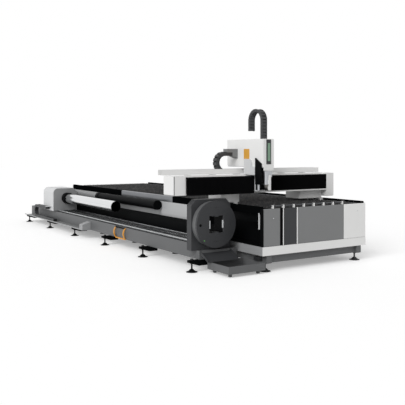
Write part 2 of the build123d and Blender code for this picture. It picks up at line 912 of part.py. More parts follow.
for number, angle in enumerate(jaw_angles, start=1):
    with BuildPart() as front_jaw:
        with BuildSketch(face_plane(disc_face, angle)):
            with Locations((front_jaw_open + front_jaw_length / 2, 0)):
                Rectangle(front_jaw_length, front_jaw_width)
        extrude(amount=-front_jaw_depth + jaw_gap)
        pad_front = jaw_pad_step if angle % 180 else 0
        for width, start in ((front_jaw_width, 0), (jaw_pad_width, pad_front)):
            with BuildSketch(face_plane(disc_face + start, angle)):
                with Locations((front_jaw_open - jaw_pad_thickness / 2, 0)):
                    Rectangle(jaw_pad_thickness, width)
            extrude(amount=start - pad_front - jaw_pad_depth)
    finish(front_jaw, f"front_jaw_{number}")

# Rear chuck: carriage on the tube rails, housing, turning hub, four jaws and the clamped tube
rear_end = rear_start + rear_length
hub_face = bed_front + rear_start - hub_length
plate_top = carriage_plate_bottom + carriage_plate_thickness
pocket = rear_sheet + rear_pocket_gap

with BuildPart() as rear_carriage:
    span_box(
        (-rear_outer + pocket, -rear_inner - pocket), (rear_start + pocket, rear_end - pocket),
        (carriage_plate_bottom, plate_top),
    )
    for rail in (tube_rail_outer, tube_rail_inner):
        groove = rail_width / 2 + slide_gap
        for start in (rear_start + pocket, rear_end - pocket - block_length):
            block = (start, start + block_length)
            span_box(
                (-rail - block_width / 2, -rail + block_width / 2), block,
                (tube_bed_top + cut_overrun, carriage_plate_bottom),
            )
            span_box(
                (-rail - groove, -rail + groove), (block[0] - cut_overrun, block[1] + cut_overrun),
                (tube_bed_top, tube_bed_top + rail_height + slide_gap), mode=Mode.SUBTRACT,
            )
finish(rear_carriage, "rear_carriage")

with BuildPart() as rear_housing:
    with BuildSketch(Plane.XZ.offset(-bed_front - rear_end)):
        with Locations((bed_left - (rear_outer + rear_inner) / 2, (rear_skirt + rear_top) / 2)):
            section = Rectangle(rear_outer - rear_inner, rear_top - rear_skirt)
        top_corners = section.vertices().group_by(Axis.Y)[-1].sort_by(Axis.X)
        fillet(top_corners[0], rear_round)
        chamfer(vertices().group_by(Axis.Y)[-1].sort_by(Axis.X)[-1], rear_corner)
    extrude(amount=rear_length)
    inside_x = (-rear_outer + rear_sheet, -rear_inner - rear_sheet)
    span_box(
        inside_x, (rear_start - cut_overrun, rear_end + cut_overrun),
        (rear_skirt - cut_overrun, rear_rail_clear), mode=Mode.SUBTRACT,
    )
    span_box(
        inside_x, (rear_start + rear_sheet, rear_end - rear_sheet), (rear_skirt - cut_overrun, plate_top),
        mode=Mode.SUBTRACT,
    )
    with BuildSketch(Plane.XZ.offset(-bed_front - rear_start)):
        with Locations((tube_axis_x, tube_axis_height)):
            Circle(rear_spindle_radius + running_fit)
    extrude(amount=-rear_spindle_length, mode=Mode.SUBTRACT)
    arm_low = rear_chain_low + 2 * rear_chain_radius + rear_chain_height / 2
    span_box(
        (-rear_outer - chain_arm_reach, -rear_outer), (rear_chain_end - chain_arm_length, rear_chain_end),
        (arm_low, arm_low + chain_arm_sheet),
    )
finish(rear_housing, "rear_housing")

with BuildPart() as rear_hub:
    hub_back = bed_front + rear_start - disc_back_gap
    with BuildSketch(Plane.XZ.offset(-hub_back)):
        with Locations((tube_axis_x, tube_axis_height)):
            Circle(hub_radius)
    extrude(amount=hub_back - hub_face)
    with BuildSketch(Plane.XZ.offset(-hub_back)):
        with Locations((tube_axis_x, tube_axis_height)):
            Circle(rear_spindle_radius)
    extrude(amount=-rear_spindle_length)
    for angle in jaw_angles:
        with BuildSketch(face_plane(hub_face, angle)):
            with Locations(((rear_slot_inner + hub_radius + cut_overrun) / 2, 0)):
                Rectangle(hub_radius + cut_overrun - rear_slot_inner, rear_jaw_width + 2 * jaw_gap)
        extrude(amount=-rear_jaw_foot, mode=Mode.SUBTRACT)
finish(rear_hub, "rear_hub")

with BuildPart() as tube_stock:
    with BuildSketch(Plane.XZ.offset(-hub_face)):
        with Locations((tube_axis_x, tube_axis_height)):
            Circle(stock_radius)
            Circle(stock_radius - stock_wall, mode=Mode.SUBTRACT)
    extrude(amount=stock_length)
finish(tube_stock, "tube_stock")

for number, angle in enumerate(jaw_angles, start=1):
    outward = (cos(radians(angle)), 0, sin(radians(angle)))
    across = (sin(radians(angle)), 0, -cos(radians(angle)))
    grip = stock_radius + jaw_gap
    with BuildPart() as rear_jaw:
        hub_middle = (tube_axis_x, hub_face, tube_axis_height)
        with BuildSketch(Plane(origin=hub_middle, x_dir=outward, z_dir=across)):
            with BuildLine():
                Polyline(
                    (rear_jaw_foot_inner, jaw_gap - rear_jaw_foot),
                    (grip + rear_jaw_thickness, jaw_gap - rear_jaw_foot),
                    (grip + rear_jaw_thickness, rear_jaw_reach), (grip, rear_jaw_reach),
                    (grip, -jaw_gap), (rear_jaw_foot_inner, -jaw_gap), close=True,
                )
            make_face()
        extrude(amount=rear_jaw_width / 2, both=True)
    finish(rear_jaw, f"rear_jaw_{number}")

# Gantry: beam with its rails and lid, saddles on the bed's rails, end covers and cable tray
x_rail_heights = (beam_bottom + x_rail_inset, beam_top - x_rail_inset)

with BuildPart() as gantry_beam:
    with BuildSketch(Plane.YZ.offset(bed_left - beam_left)):
        with Locations((bed_front + (beam_front + beam_rear) / 2, (beam_bottom + beam_top) / 2)):
            section = Rectangle(beam_rear - beam_front, beam_top - beam_bottom)
        chamfer(section.vertices().group_by(Axis.X)[-1], beam_edge)
    extrude(amount=beam_left + beam_right)
    span_box(
        (-beam_left, beam_right), (beam_front + beam_lid_inset, beam_rear - beam_lid_inset),
        (beam_top, beam_top + beam_lid),
    )
    span_box(
        (-beam_left, beam_right), (bellows_front, beam_flange_rear),
        (beam_bottom - beam_flange, beam_bottom),
    )
    for height in x_rail_heights:
        span_box(
            (-beam_left, beam_right), (beam_front - x_rail_depth, beam_front),
            (height - x_rail_size / 2, height + x_rail_size / 2),
        )
finish(gantry_beam, "gantry_beam")


def saddle(start, end, rail):
    """A gantry foot over a bed rail, with two grooved rail blocks under it."""
    with BuildPart() as foot:
        span_box((start, end), (saddle_front, saddle_rear), (saddle_bottom, beam_bottom))
        chamfer(foot.edges().filter_by(Axis.Z), saddle_edge)
        groove = rail_width / 2 + slide_gap
        for low in (saddle_front, saddle_rear - saddle_block_length):
            high = low + saddle_block_length
            span_box(
                (rail - saddle_block_width / 2, rail + saddle_block_width / 2), (low, high),
                (saddle_block_bottom, saddle_bottom),
            )
            span_box(
                (rail - groove, rail + groove), (low - cut_overrun, high + cut_overrun),
                (rail_beam_top, rail_beam_top + rail_height + slide_gap), mode=Mode.SUBTRACT,
            )
    return foot


finish(saddle(left_saddle_start, left_saddle_end, left_rail_inset), "left_saddle")
right_saddle_end = beam_right - right_saddle_gap
right_rail_place = bed_width - right_rail_inset
finish(saddle(right_saddle_end - right_saddle_width, right_saddle_end, right_rail_place), "right_saddle")

with BuildPart() as left_end_cover:
    span_box(
        (-beam_left - left_cover_width, -beam_left), (cover_front, beam_rear), (left_cover_bottom, cover_top)
    )
    fillet(left_end_cover.edges().filter_by(Axis.Y).group_by(Axis.X)[0], cover_edge)
finish(left_end_cover, "left_end_cover")

with BuildPart() as right_end_cover:
    span_box((beam_right, bed_width), (cover_front, beam_rear), (right_cover_bottom, cover_top))
    fillet(right_end_cover.edges().filter_by(Axis.Y).group_by(Axis.X)[-1], cover_edge)
finish(right_end_cover, "right_end_cover")

with BuildPart() as cable_tray:
    tray_span = (-left_reach, bed_width - tray_channel_inset)
    tray_rear = tray_channel_front + tray_channel_depth
    span_box(tray_span, (tray_channel_front, tray_rear), (tray_channel_bottom, tray_channel_top))
    span_box(
        (tray_span[0] - cut_overrun, tray_span[1] + cut_overrun),
        (tray_channel_front + tray_channel_sheet, tray_rear - tray_channel_sheet),
        (tray_channel_bottom + tray_channel_sheet, tray_channel_top + cut_overrun), mode=Mode.SUBTRACT,
    )
    arm_pitch = (beam_left + beam_right - 2 * tray_arm_inset) / (tray_arm_count - 1)
    for i in range(tray_arm_count):
        place = -beam_left + tray_arm_inset + arm_pitch * i
        span_box(
            (place - tray_arm_width / 2, place + tray_arm_width / 2),
            (beam_rear - tray_arm_seat, tray_rear), (beam_top, tray_channel_bottom),
        )
finish(cable_tray, "cable_tray")


def bellows(start, end):
    """A pleated cover: one zigzag strip, as deep as a pleat, standing over the beam's height."""
    pleats = round((end - start) / bellows_pitch)
    step = (end - start) / (2 * pleats)
    fold = bellows_depth - bellows_sheet
    front_y = bed_front + bellows_front
    front = [(bed_left + start + step * i, front_y + fold * (i % 2)) for i in range(2 * pleats + 1)]
    back = [(x, y + bellows_sheet) for x, y in reversed(front)]
    with BuildPart() as pleated:
        with BuildSketch(Plane.XY.offset(beam_bottom)):
            with BuildLine():
                Polyline(*front, *back, close=True)
            make_face()
        extrude(amount=beam_top - beam_bottom)
    return pleated


finish(bellows(bellows_gap - beam_left, carriage_neck_start - bellows_gap), "left_bellows")
finish(bellows(carriage_end + bellows_gap, beam_right - bellows_gap), "right_bellows")

# Carriage: plate on the beam's rails, head cover with its chain bracket, slide cover
shelf_bottom = head_cover_bottom - shelf_thickness
carriage_middle = (carriage_start + carriage_end) / 2

with BuildPart() as carriage_plate:
    span_box(
        (carriage_neck_start, carriage_end), (carriage_front, carriage_back),
        (carriage_bottom, carriage_neck_top),
    )
    span_box(
        (carriage_start, carriage_end), (carriage_front, carriage_back), (carriage_neck_top, shelf_bottom)
    )
    span_box(
        (cover_start, cover_end), (head_cover_front + head_cover_edge, head_cover_rear - head_cover_edge),
        (shelf_bottom, head_cover_bottom),
    )
    with BuildSketch(Plane.YZ.offset(bed_left + carriage_start)):
        with Locations((bed_front + (cheek_front + cheek_rear) / 2, (cheek_bottom + cheek_top) / 2)):
            cheek = Rectangle(cheek_rear - cheek_front, cheek_top - cheek_bottom)
        fillet(cheek.vertices().group_by(Axis.Y)[-1].sort_by(Axis.X)[0], cheek_round)
    extrude(amount=cover_start - cheek_gap - carriage_start)
    for height in x_rail_heights:
        groove = x_rail_size / 2 + slide_gap
        block = (carriage_middle - x_block_length / 2, carriage_middle + x_block_length / 2)
        span_box(
            block, (carriage_back, beam_front - slide_gap),
            (height - x_block_height / 2, height + x_block_height / 2),
        )
        span_box(
            (block[0] - cut_overrun, block[1] + cut_overrun),
            (beam_front - x_rail_depth - slide_gap, beam_front), (height - groove, height + groove),
            mode=Mode.SUBTRACT,
        )
finish(carriage_plate, "carriage_plate")

x_chain_high = x_chain_low + 2 * x_chain_radius
chain_seat = x_chain_high + x_chain_height / 2 + chain_seat_gap

with BuildPart() as head_cover:
    span_box(
        (cover_start, cover_end), (head_cover_front, head_cover_rear), (head_cover_bottom, head_cover_top)
    )
    fillet(head_cover.faces().sort_by(Axis.Z)[-1].edges(), head_cover_edge)
    with BuildSketch(Plane.XZ.offset(-bed_front - chain_bracket_y - chain_bracket_half_depth)):
        with BuildLine():
            Polyline(
                (bed_left + cover_start, chain_bracket_bottom), (bed_left + cover_start, chain_bracket_top),
                (bed_left + chain_bracket_start, chain_bracket_top),
                (bed_left + chain_bracket_start, chain_seat), (bed_left + x_chain_start, chain_seat),
                (bed_left + x_chain_start, chain_bracket_shoulder), close=True,
            )
        make_face()
    extrude(amount=2 * chain_bracket_half_depth)
finish(head_cover, "head_cover")

with BuildPart() as slide_cover:
    span_box(
        (cover_start - cheek_gap, slide_cover_end), (slide_cover_front, carriage_front),
        (slide_cover_bottom, slide_cover_top),
    )
    with BuildSketch(Plane.YZ.offset(bed_left + blade_start)):
        with BuildLine():
            Polyline(
                (bed_front + blade_rear, blade_bottom), (bed_front + blade_front, blade_bottom),
                (bed_front + blade_front, blade_low), (bed_front + blade_rear, blade_high), close=True,
            )
        make_face()
    extrude(amount=cover_start - cheek_gap - blade_start)
    span_box(
        (head_x - slide_tongue - slide_gap, head_x + slide_tongue + slide_gap),
        (slide_cover_front - cut_overrun, slide_cover_front + slide_groove + slide_gap),
        (slide_cover_bottom - cut_overrun, slide_cover_top + cut_overrun), mode=Mode.SUBTRACT,
    )
finish(slide_cover, "slide_cover")

# Cutting head: slide with its tongue, clamped head and nozzle
slide_back = slide_cover_front - slide_gap
slide_front = slide_back - slide_thickness

with BuildPart() as head_slide:
    span_box(
        (head_x - slide_half_width, head_x + slide_half_width), (slide_front, slide_back),
        (slide_bottom, slide_top),
    )
    span_box(
        (head_x - slide_tongue, head_x + slide_tongue), (slide_back, slide_cover_front + slide_groove),
        (slide_bottom, slide_top),
    )
finish(head_slide, "head_slide")

head_plane = Plane.XY.move(Location((bed_left + head_x, bed_front + head_y, 0)))

with BuildPart() as laser_head:
    barrel = (head_radius, nozzle_top, head_clamp_top)
    collar = (head_collar, head_clamp_top, head_top)
    for radius, low, high in (barrel, collar):
        with BuildSketch(head_plane.offset(low)):
            RegularPolygon(radius, head_sides)
        extrude(amount=high - low)
    span_box(
        (head_x - head_clamp_half, head_x + head_clamp_half), (head_y, slide_front),
        (head_clamp_bottom, head_clamp_top),
    )
    span_box(
        (head_x, head_x + sensor_reach), (head_y - sensor_half_depth, head_y + sensor_half_depth),
        (sensor_bottom, head_top),
    )
finish(laser_head, "laser_head")

with BuildPart() as nozzle:
    tip_cone = (nozzle_tip_radius, nozzle_neck, nozzle_tip, nozzle_tip + nozzle_cone)
    seat_cone = (nozzle_neck, nozzle_seat, nozzle_tip + nozzle_cone, nozzle_top)
    for narrow, wide, low, high in (tip_cone, seat_cone):
        with Locations(head_plane.offset((low + high) / 2)):
            Cone(narrow, wide, high - low)
finish(nozzle, "nozzle")

# Drag chains
with BuildPart() as x_drag_chain:
    bend = pi * x_chain_radius
    for x, z, angle, length in chain_links(x_chain_pitch, x_chain_height, [
        ((x_chain_start, x_chain_high), 180, x_chain_start - x_chain_bend, 0),
        ((x_chain_bend, x_chain_high), 180, bend, 180),
        ((x_chain_bend, x_chain_low), 0, x_chain_end - x_chain_bend, 0),
    ]):
        tangent = (cos(radians(angle)), 0, sin(radians(angle)))
        middle = (bed_left + x, bed_front + chain_bracket_y, z)
        with Locations(Plane(origin=middle, x_dir=tangent, z_dir=(0, -1, 0))):
            Box(length, x_chain_height, x_chain_width)
finish(x_drag_chain, "x_drag_chain")

with BuildPart() as z_chain_loop:
    bend = pi * z_chain_radius
    z_chain_rear = z_chain_front + 2 * z_chain_radius
    z_chain_bend = head_cover_top + z_chain_rise
    for y, z, angle, length in chain_links(z_chain_pitch, z_chain_height, [
        ((z_chain_front, head_cover_top), 90, z_chain_rise, 0),
        ((z_chain_front, z_chain_bend), 90, bend, -180),
        ((z_chain_rear, z_chain_bend), -90, z_chain_drop, 0),
    ]):
        tangent = (0, cos(radians(angle)), sin(radians(angle)))
        middle = (bed_left + head_x, bed_front + y, z)
        with Locations(Plane(origin=middle, x_dir=tangent, z_dir=(1, 0, 0))):
            Box(length, z_chain_height, z_chain_width)
finish(z_chain_loop, "z_chain_loop")

with BuildPart() as rear_drag_chain:
    bend = pi * rear_chain_radius
    rear_chain_high = rear_chain_low + 2 * rear_chain_radius
    for y, z, angle, length in chain_links(rear_chain_pitch, rear_chain_height, [
        ((rear_chain_start, rear_chain_low), 0, rear_chain_bend - rear_chain_start, 0),
        ((rear_chain_bend, rear_chain_low), 0, bend, 180),
        ((rear_chain_bend, rear_chain_high), 180, rear_chain_bend - rear_chain_end, 0),
    ]):
        tangent = (0, cos(radians(angle)), sin(radians(angle)))
        middle = (bed_left - rear_chain_out, bed_front + y, z)
        with Locations(Plane(origin=middle, x_dir=tangent, z_dir=(1, 0, 0))):
            Box(length, rear_chain_height, rear_chain_width)
finish(rear_drag_chain, "rear_drag_chain")
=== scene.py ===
# %% [markdown]
# # Sheet and tube laser cutting machine
# A flat bed for sheet stands under a gantry, and a second line beside it holds tube in two chucks.
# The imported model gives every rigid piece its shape, so this lesson dresses it: first the finishes,
# then the pieces that are too fine for a solid model, such as bellows, chain links and saw teeth.

import bmesh
import bpy
import numpy as np
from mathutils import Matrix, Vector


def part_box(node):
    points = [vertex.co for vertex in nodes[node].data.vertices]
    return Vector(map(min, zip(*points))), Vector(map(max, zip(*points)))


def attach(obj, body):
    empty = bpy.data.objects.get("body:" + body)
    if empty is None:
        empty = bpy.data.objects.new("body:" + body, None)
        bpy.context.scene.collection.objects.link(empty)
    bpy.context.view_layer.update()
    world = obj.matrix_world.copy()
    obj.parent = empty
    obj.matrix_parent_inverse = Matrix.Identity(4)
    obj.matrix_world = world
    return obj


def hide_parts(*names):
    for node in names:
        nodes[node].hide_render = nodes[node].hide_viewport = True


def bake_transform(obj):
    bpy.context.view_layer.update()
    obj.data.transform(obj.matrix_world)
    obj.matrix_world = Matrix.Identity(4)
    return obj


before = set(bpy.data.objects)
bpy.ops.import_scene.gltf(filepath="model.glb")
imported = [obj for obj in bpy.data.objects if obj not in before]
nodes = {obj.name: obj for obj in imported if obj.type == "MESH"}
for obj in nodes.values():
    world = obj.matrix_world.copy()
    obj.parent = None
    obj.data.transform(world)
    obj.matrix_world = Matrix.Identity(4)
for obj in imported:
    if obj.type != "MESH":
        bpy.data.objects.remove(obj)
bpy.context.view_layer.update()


def node_box(name):
    """Lowest and highest corner of a CAD node, as two arrays in metres."""
    low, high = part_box(name)
    return np.array(low), np.array(high)


# Most places are given from the flat bed's front left corner, on the floor.
bed_corner = node_box("skirt")[0] * (1, 1, 0)


def from_bed(points):
    """Places given from the bed's corner, moved into the frame: point + corner."""
    return np.asarray(points, float) + bed_corner


print("nodes:", len(nodes), "bed corner:", bed_corner.round(3))

# %% [markdown]
# ## Camera
# The picture is taken level, from the height of a person's head, with the horizon well above the
# middle of the frame. A level camera keeps upright edges upright, and the shift moves the frame down
# as lowering the front of a view camera does. Tilting the camera would also bring the floor in, but
# it would make the upright edges lean.

# %% Camera
IMAGE_SIZE = 405
HORIZON_ROW = 152.4
CAMERA_PLACE = (-5.697, -7.274, 1.80)
CAMERA_YAW = 32.52
SENSOR = 36.0
FOCAL_PIXELS = 618.8
FAR_CLIP = 200

camera = bpy.data.objects.new("camera", bpy.data.cameras.new("camera"))
bpy.context.scene.collection.objects.link(camera)
camera.location = from_bed(CAMERA_PLACE)
camera.rotation_euler = (np.pi / 2, 0, -np.radians(CAMERA_YAW))
camera.data.sensor_width = SENSOR
camera.data.lens = FOCAL_PIXELS / IMAGE_SIZE * SENSOR
camera.data.shift_y = (HORIZON_ROW - IMAGE_SIZE / 2) / IMAGE_SIZE
camera.data.clip_end = FAR_CLIP
bpy.context.scene.camera = camera
bpy.context.scene.view_settings.view_transform = "Standard"
print("lens:", round(camera.data.lens, 2), "mm")

# %% [markdown]
# ## Colours
# Colours are written as sRGB hex values, as a paint chart gives them, but a shader works with linear
# light. One function turns the first into the second, and one makes the paler or darker tint that a
# finish has in patches.

# %% Colour helpers


def linear(hex_colour):
    """An sRGB hex value as linear red, green, blue and alpha, by the sRGB curve's two branches."""
    srgb = np.array([int(hex_colour[i:i + 2], 16) for i in (1, 3, 5)]) / 255
    low = srgb / 12.92
    high = ((srgb + 0.055) / 1.055) ** 2.4
    return (*np.where(srgb <= 0.04045, low, high), 1.0)


def shade(hex_colour, factor):
    """The same hue, darker or lighter: each part of the hex value times a factor."""
    parts = [min(255, round(int(hex_colour[i:i + 2], 16) * factor)) for i in (1, 3, 5)]
    return "#" + "".join(f"{part:02x}" for part in parts)


print("a middle grey is", round(float(linear("#808080")[0]), 3), "in linear light")

# %% [markdown]
# ## Nodes
# A finish is a small tree of nodes. It could be drawn by hand in the shader editor. In a script, one
# function adds a node with its settings and its links, and every finish below is made with it. The
# sizes of patterns are given in millimetres, as they would be measured on the machine.

# %% Node helpers
MILLIMETRE = 0.001
# A colour Mix node has sockets for every data type, so its colour sockets go by number.
MIX_FACTOR, MIX_A, MIX_B, MIX_RESULT = 0, 6, 7, 2


def add_node(tree, kind, inputs=None, **settings):
    """Add a node: settings are its properties, inputs are values or sockets to link from."""
    node = tree.nodes.new(kind)
    for key, value in settings.items():
        setattr(node, key, value)
    for key, value in (inputs or {}).items():
        if isinstance(value, bpy.types.NodeSocket):
            tree.links.new(value, node.inputs[key])
        else:
            node.inputs[key].default_value = value
    return node


def new_material(name):
    """An empty node material and its tree, with the output node ready."""
    material = bpy.data.materials.new(name)
    material.use_nodes = True
    material.node_tree.nodes.clear()
    output = add_node(material.node_tree, "ShaderNodeOutputMaterial")
    return material, material.node_tree, output


print("a pattern of 1 mm has the scale", round(1 / MILLIMETRE))

# %% [markdown]
# ## Powder coat
# Most of the machine is sheet steel with baked polyester powder. The melt leaves a faint orange
# peel, about 3 mm across on the real panel. That is too fine to show from twelve metres away, so it
# is drawn at 9 mm, with a slow change of gloss over the sheet where the coat runs thicker. One
# function makes every colour of it, so the whole machine looks as if one shop had painted it.

# %% Powder coats
THICK_TINT = 0.965
GLOSS_BELOW, GLOSS_ABOVE = 0.04, 0.05
PEEL_DEPTH = 0.4


def powder_coat(name, colour, roughness, specular=0.5, peel=9, peel_strength=0.06, gloss_patch=420):
    """Baked powder: two close tints over broad patches, and an orange peel bump, sizes in mm."""
    material, tree, output = new_material(name)
    place = add_node(tree, "ShaderNodeTexCoord").outputs["Object"]
    patch = add_node(tree, "ShaderNodeTexNoise", {
        "Vector": place, "Scale": 1 / (gloss_patch * MILLIMETRE), "Detail": 3.0})
    tint = add_node(tree, "ShaderNodeMix", {
        MIX_FACTOR: patch.outputs["Fac"], MIX_A: linear(colour),
        MIX_B: linear(shade(colour, THICK_TINT))}, data_type="RGBA")
    gloss = add_node(tree, "ShaderNodeMapRange", {
        "Value": patch.outputs["Fac"], "To Min": roughness - GLOSS_BELOW,
        "To Max": roughness + GLOSS_ABOVE})
    grain = add_node(tree, "ShaderNodeTexNoise", {
        "Vector": place, "Scale": 1 / (peel * MILLIMETRE), "Detail": 2.0})
    bump = add_node(tree, "ShaderNodeBump", {
        "Height": grain.outputs["Fac"], "Strength": peel_strength, "Distance": PEEL_DEPTH * MILLIMETRE})
    surface = add_node(tree, "ShaderNodeBsdfPrincipled", {
        "Base Color": tint.outputs[MIX_RESULT], "Roughness": gloss.outputs["Result"],
        "Specular IOR Level": specular, "Normal": bump.outputs["Normal"]})
    tree.links.new(surface.outputs["BSDF"], output.inputs["Surface"])
    return material


white_coat = powder_coat("white_powder_coat", "#eeeeed", 0.40)
light_grey_coat = powder_coat("light_grey_powder_coat", "#d4d5d6", 0.42)
pale_grey_coat = powder_coat("pale_grey_powder_coat", "#bcbdbe", 0.44)
orange_coat = powder_coat("orange_powder_coat", "#dc972f", 0.40)

# A dark panel seen almost edge on mirrors the white studio and looks grey, so the darker the coat,
# the less it mirrors. The rail guards lie flattest to the eye and are quite matt.
stone_grey_coat = powder_coat("stone_grey_powder_coat", "#9a9b9c", 0.44, specular=0.4)
mid_grey_coat = powder_coat("mid_grey_powder_coat", "#7f8081", 0.42, specular=0.35)
iron_grey_coat = powder_coat("iron_grey_powder_coat", "#656667", 0.45, specular=0.25)
dark_grey_coat = powder_coat("dark_grey_powder_coat", "#3b3c3e", 0.42, specular=0.22)
black_coat = powder_coat("black_powder_coat", "#0a0b0c", 0.48, specular=0.03)
matt_black_coat = powder_coat("matt_black_powder_coat", "#08090a", 0.60, specular=0.0)
print("powder coats:", sum("powder_coat" in material.name for material in bpy.data.materials))

# %% [markdown]
# ## Bare metals
# Rails, the shaft and the tube are drawn or ground steel, with fine lines along their length. The
# lines are stretched noise: very long one way and about 2 mm apart the other way, drawn coarser than
# the real grind so that they show. The tube is the brightest, and the nozzle is chromed copper that
# the heat has dulled.

# %% Drawn steel, aluminium and chrome
GLOSS_SWING = 0.25


def drawn_metal(name, colour, roughness, along, line=2, streak=500, contrast=0.10):
    """Ground or drawn metal: lines that are long on one axis, which change the gloss and the tint."""
    material, tree, output = new_material(name)
    place = add_node(tree, "ShaderNodeTexCoord").outputs["Object"]
    across = 1 / (line * MILLIMETRE)
    scale = np.where(np.arange(3) == along, 1 / (streak * MILLIMETRE), across)
    stretched = add_node(tree, "ShaderNodeMapping", {"Vector": place, "Scale": scale})
    lines = add_node(tree, "ShaderNodeTexNoise", {
        "Vector": stretched.outputs["Vector"], "Scale": 1.0, "Detail": 2.0})
    tint = add_node(tree, "ShaderNodeMix", {
        MIX_FACTOR: lines.outputs["Fac"], MIX_A: linear(colour),
        MIX_B: linear(shade(colour, 1 - contrast))}, data_type="RGBA")
    gloss = add_node(tree, "ShaderNodeMapRange", {
        "Value": lines.outputs["Fac"], "To Min": roughness * (1 - GLOSS_SWING),
        "To Max": roughness * (1 + GLOSS_SWING)})
    surface = add_node(tree, "ShaderNodeBsdfPrincipled", {
        "Base Color": tint.outputs[MIX_RESULT], "Roughness": gloss.outputs["Result"], "Metallic": 1.0})
    tree.links.new(surface.outputs["BSDF"], output.inputs["Surface"])
    return material


ground_steel = drawn_metal("ground_rail_steel", "#c9cbcd", 0.26, along=1)
drawn_tube_steel = drawn_metal("drawn_stainless_tube", "#e2e3e4", 0.11, along=1, contrast=0.04)
shaft_steel = drawn_metal("blackened_shaft_steel", "#5a5c5f", 0.30, along=0)
head_aluminium = drawn_metal("anodised_head_aluminium", "#b9bbbe", 0.34, along=2, line=3, streak=200)
nozzle_chrome = drawn_metal("chromed_nozzle_copper", "#85827f", 0.32, along=2, line=3, streak=60)
guard_steel = drawn_metal("brushed_guard_steel", "#8a8c8f", 0.34, along=1, line=4)
print("materials so far:", len(bpy.data.materials))

# %% [markdown]
# ## Hot-rolled slats
# The slats are hot-rolled strip, dull with mill scale. Cutting dust settles on them in paler patches
# some 60 mm across, so a noise of that size mixes the two colours and roughens the surface a little.

# %% Hot-rolled steel


def rolled_steel(name, colour, dust_colour, roughness, patch=60):
    """Hot-rolled strip: mill scale, and paler dust where a noise is high, patch size in mm."""
    material, tree, output = new_material(name)
    place = add_node(tree, "ShaderNodeTexCoord").outputs["Object"]
    dust = add_node(tree, "ShaderNodeTexNoise", {
        "Vector": place, "Scale": 1 / (patch * MILLIMETRE), "Detail": 5.0})
    spread = add_node(tree, "ShaderNodeMapRange", {
        "Value": dust.outputs["Fac"], "From Min": 0.45, "From Max": 0.75})
    tint = add_node(tree, "ShaderNodeMix", {
        MIX_FACTOR: spread.outputs["Result"], MIX_A: linear(colour), MIX_B: linear(dust_colour)},
        data_type="RGBA")
    bump = add_node(tree, "ShaderNodeBump", {
        "Height": dust.outputs["Fac"], "Strength": 0.15, "Distance": 1 * MILLIMETRE})
    surface = add_node(tree, "ShaderNodeBsdfPrincipled", {
        "Base Color": tint.outputs[MIX_RESULT], "Roughness": roughness, "Metallic": 0.6,
        "Normal": bump.outputs["Normal"]})
    tree.links.new(surface.outputs["BSDF"], output.inputs["Surface"])
    return material


slat_steel = rolled_steel("hot_rolled_slat_steel", "#474748", "#6a6866", 0.46)
print("made", slat_steel.name)

# %% [markdown]
# ## Moulded plastic and rubber
# Chain links and foot pads are moulded: nylon with a fine matt texture, and rubber that is duller
# still. The mould is spark-eroded, which leaves small pits. They are drawn 6 mm across, coarser than
# the real ones, so that they break up the shine at this distance.

# %% Nylon and rubber
PIT_TINT = 1.15
PIT_DEPTH = 0.5


def moulded(name, colour, roughness, pit=6, strength=0.10):
    """A moulded plastic or rubber: one colour with spark-eroded pits in the surface, size in mm."""
    material, tree, output = new_material(name)
    place = add_node(tree, "ShaderNodeTexCoord").outputs["Object"]
    pits = add_node(tree, "ShaderNodeTexVoronoi", {"Vector": place, "Scale": 1 / (pit * MILLIMETRE)})
    tint = add_node(tree, "ShaderNodeMix", {
        MIX_FACTOR: pits.outputs["Distance"], MIX_A: linear(colour),
        MIX_B: linear(shade(colour, PIT_TINT))}, data_type="RGBA")
    bump = add_node(tree, "ShaderNodeBump", {
        "Height": pits.outputs["Distance"], "Strength": strength, "Distance": PIT_DEPTH * MILLIMETRE})
    surface = add_node(tree, "ShaderNodeBsdfPrincipled", {
        "Base Color": tint.outputs[MIX_RESULT], "Roughness": roughness, "Normal": bump.outputs["Normal"]})
    tree.links.new(surface.outputs["BSDF"], output.inputs["Surface"])
    return material


chain_nylon = moulded("moulded_chain_nylon", "#2e2f31", 0.48)
cable_sheath = moulded("moulded_cable_sheath", "#0b0b0c", 0.60)
wheel_rubber = moulded("moulded_wheel_rubber", "#1d1d1e", 0.62)
foot_rubber = moulded("moulded_foot_rubber", "#17181a", 0.60)
print("moulded materials:", sum("moulded" in material.name for material in bpy.data.materials))

# %% [markdown]
# ## Bellows cloth
# The bellows are coated cloth, woven, so a weave of crossed waves breaks the light up. The threads
# are half a millimetre apart and are drawn at 3 mm so that the cloth reads as cloth.

# %% Coated cloth
THREAD_TINT = 1.35
THREAD_HEIGHT = 0.5
# Blender's wave texture repeats every 2 pi / 20 of its scaled coordinate.
WAVE_PERIOD = 2 * np.pi / 20


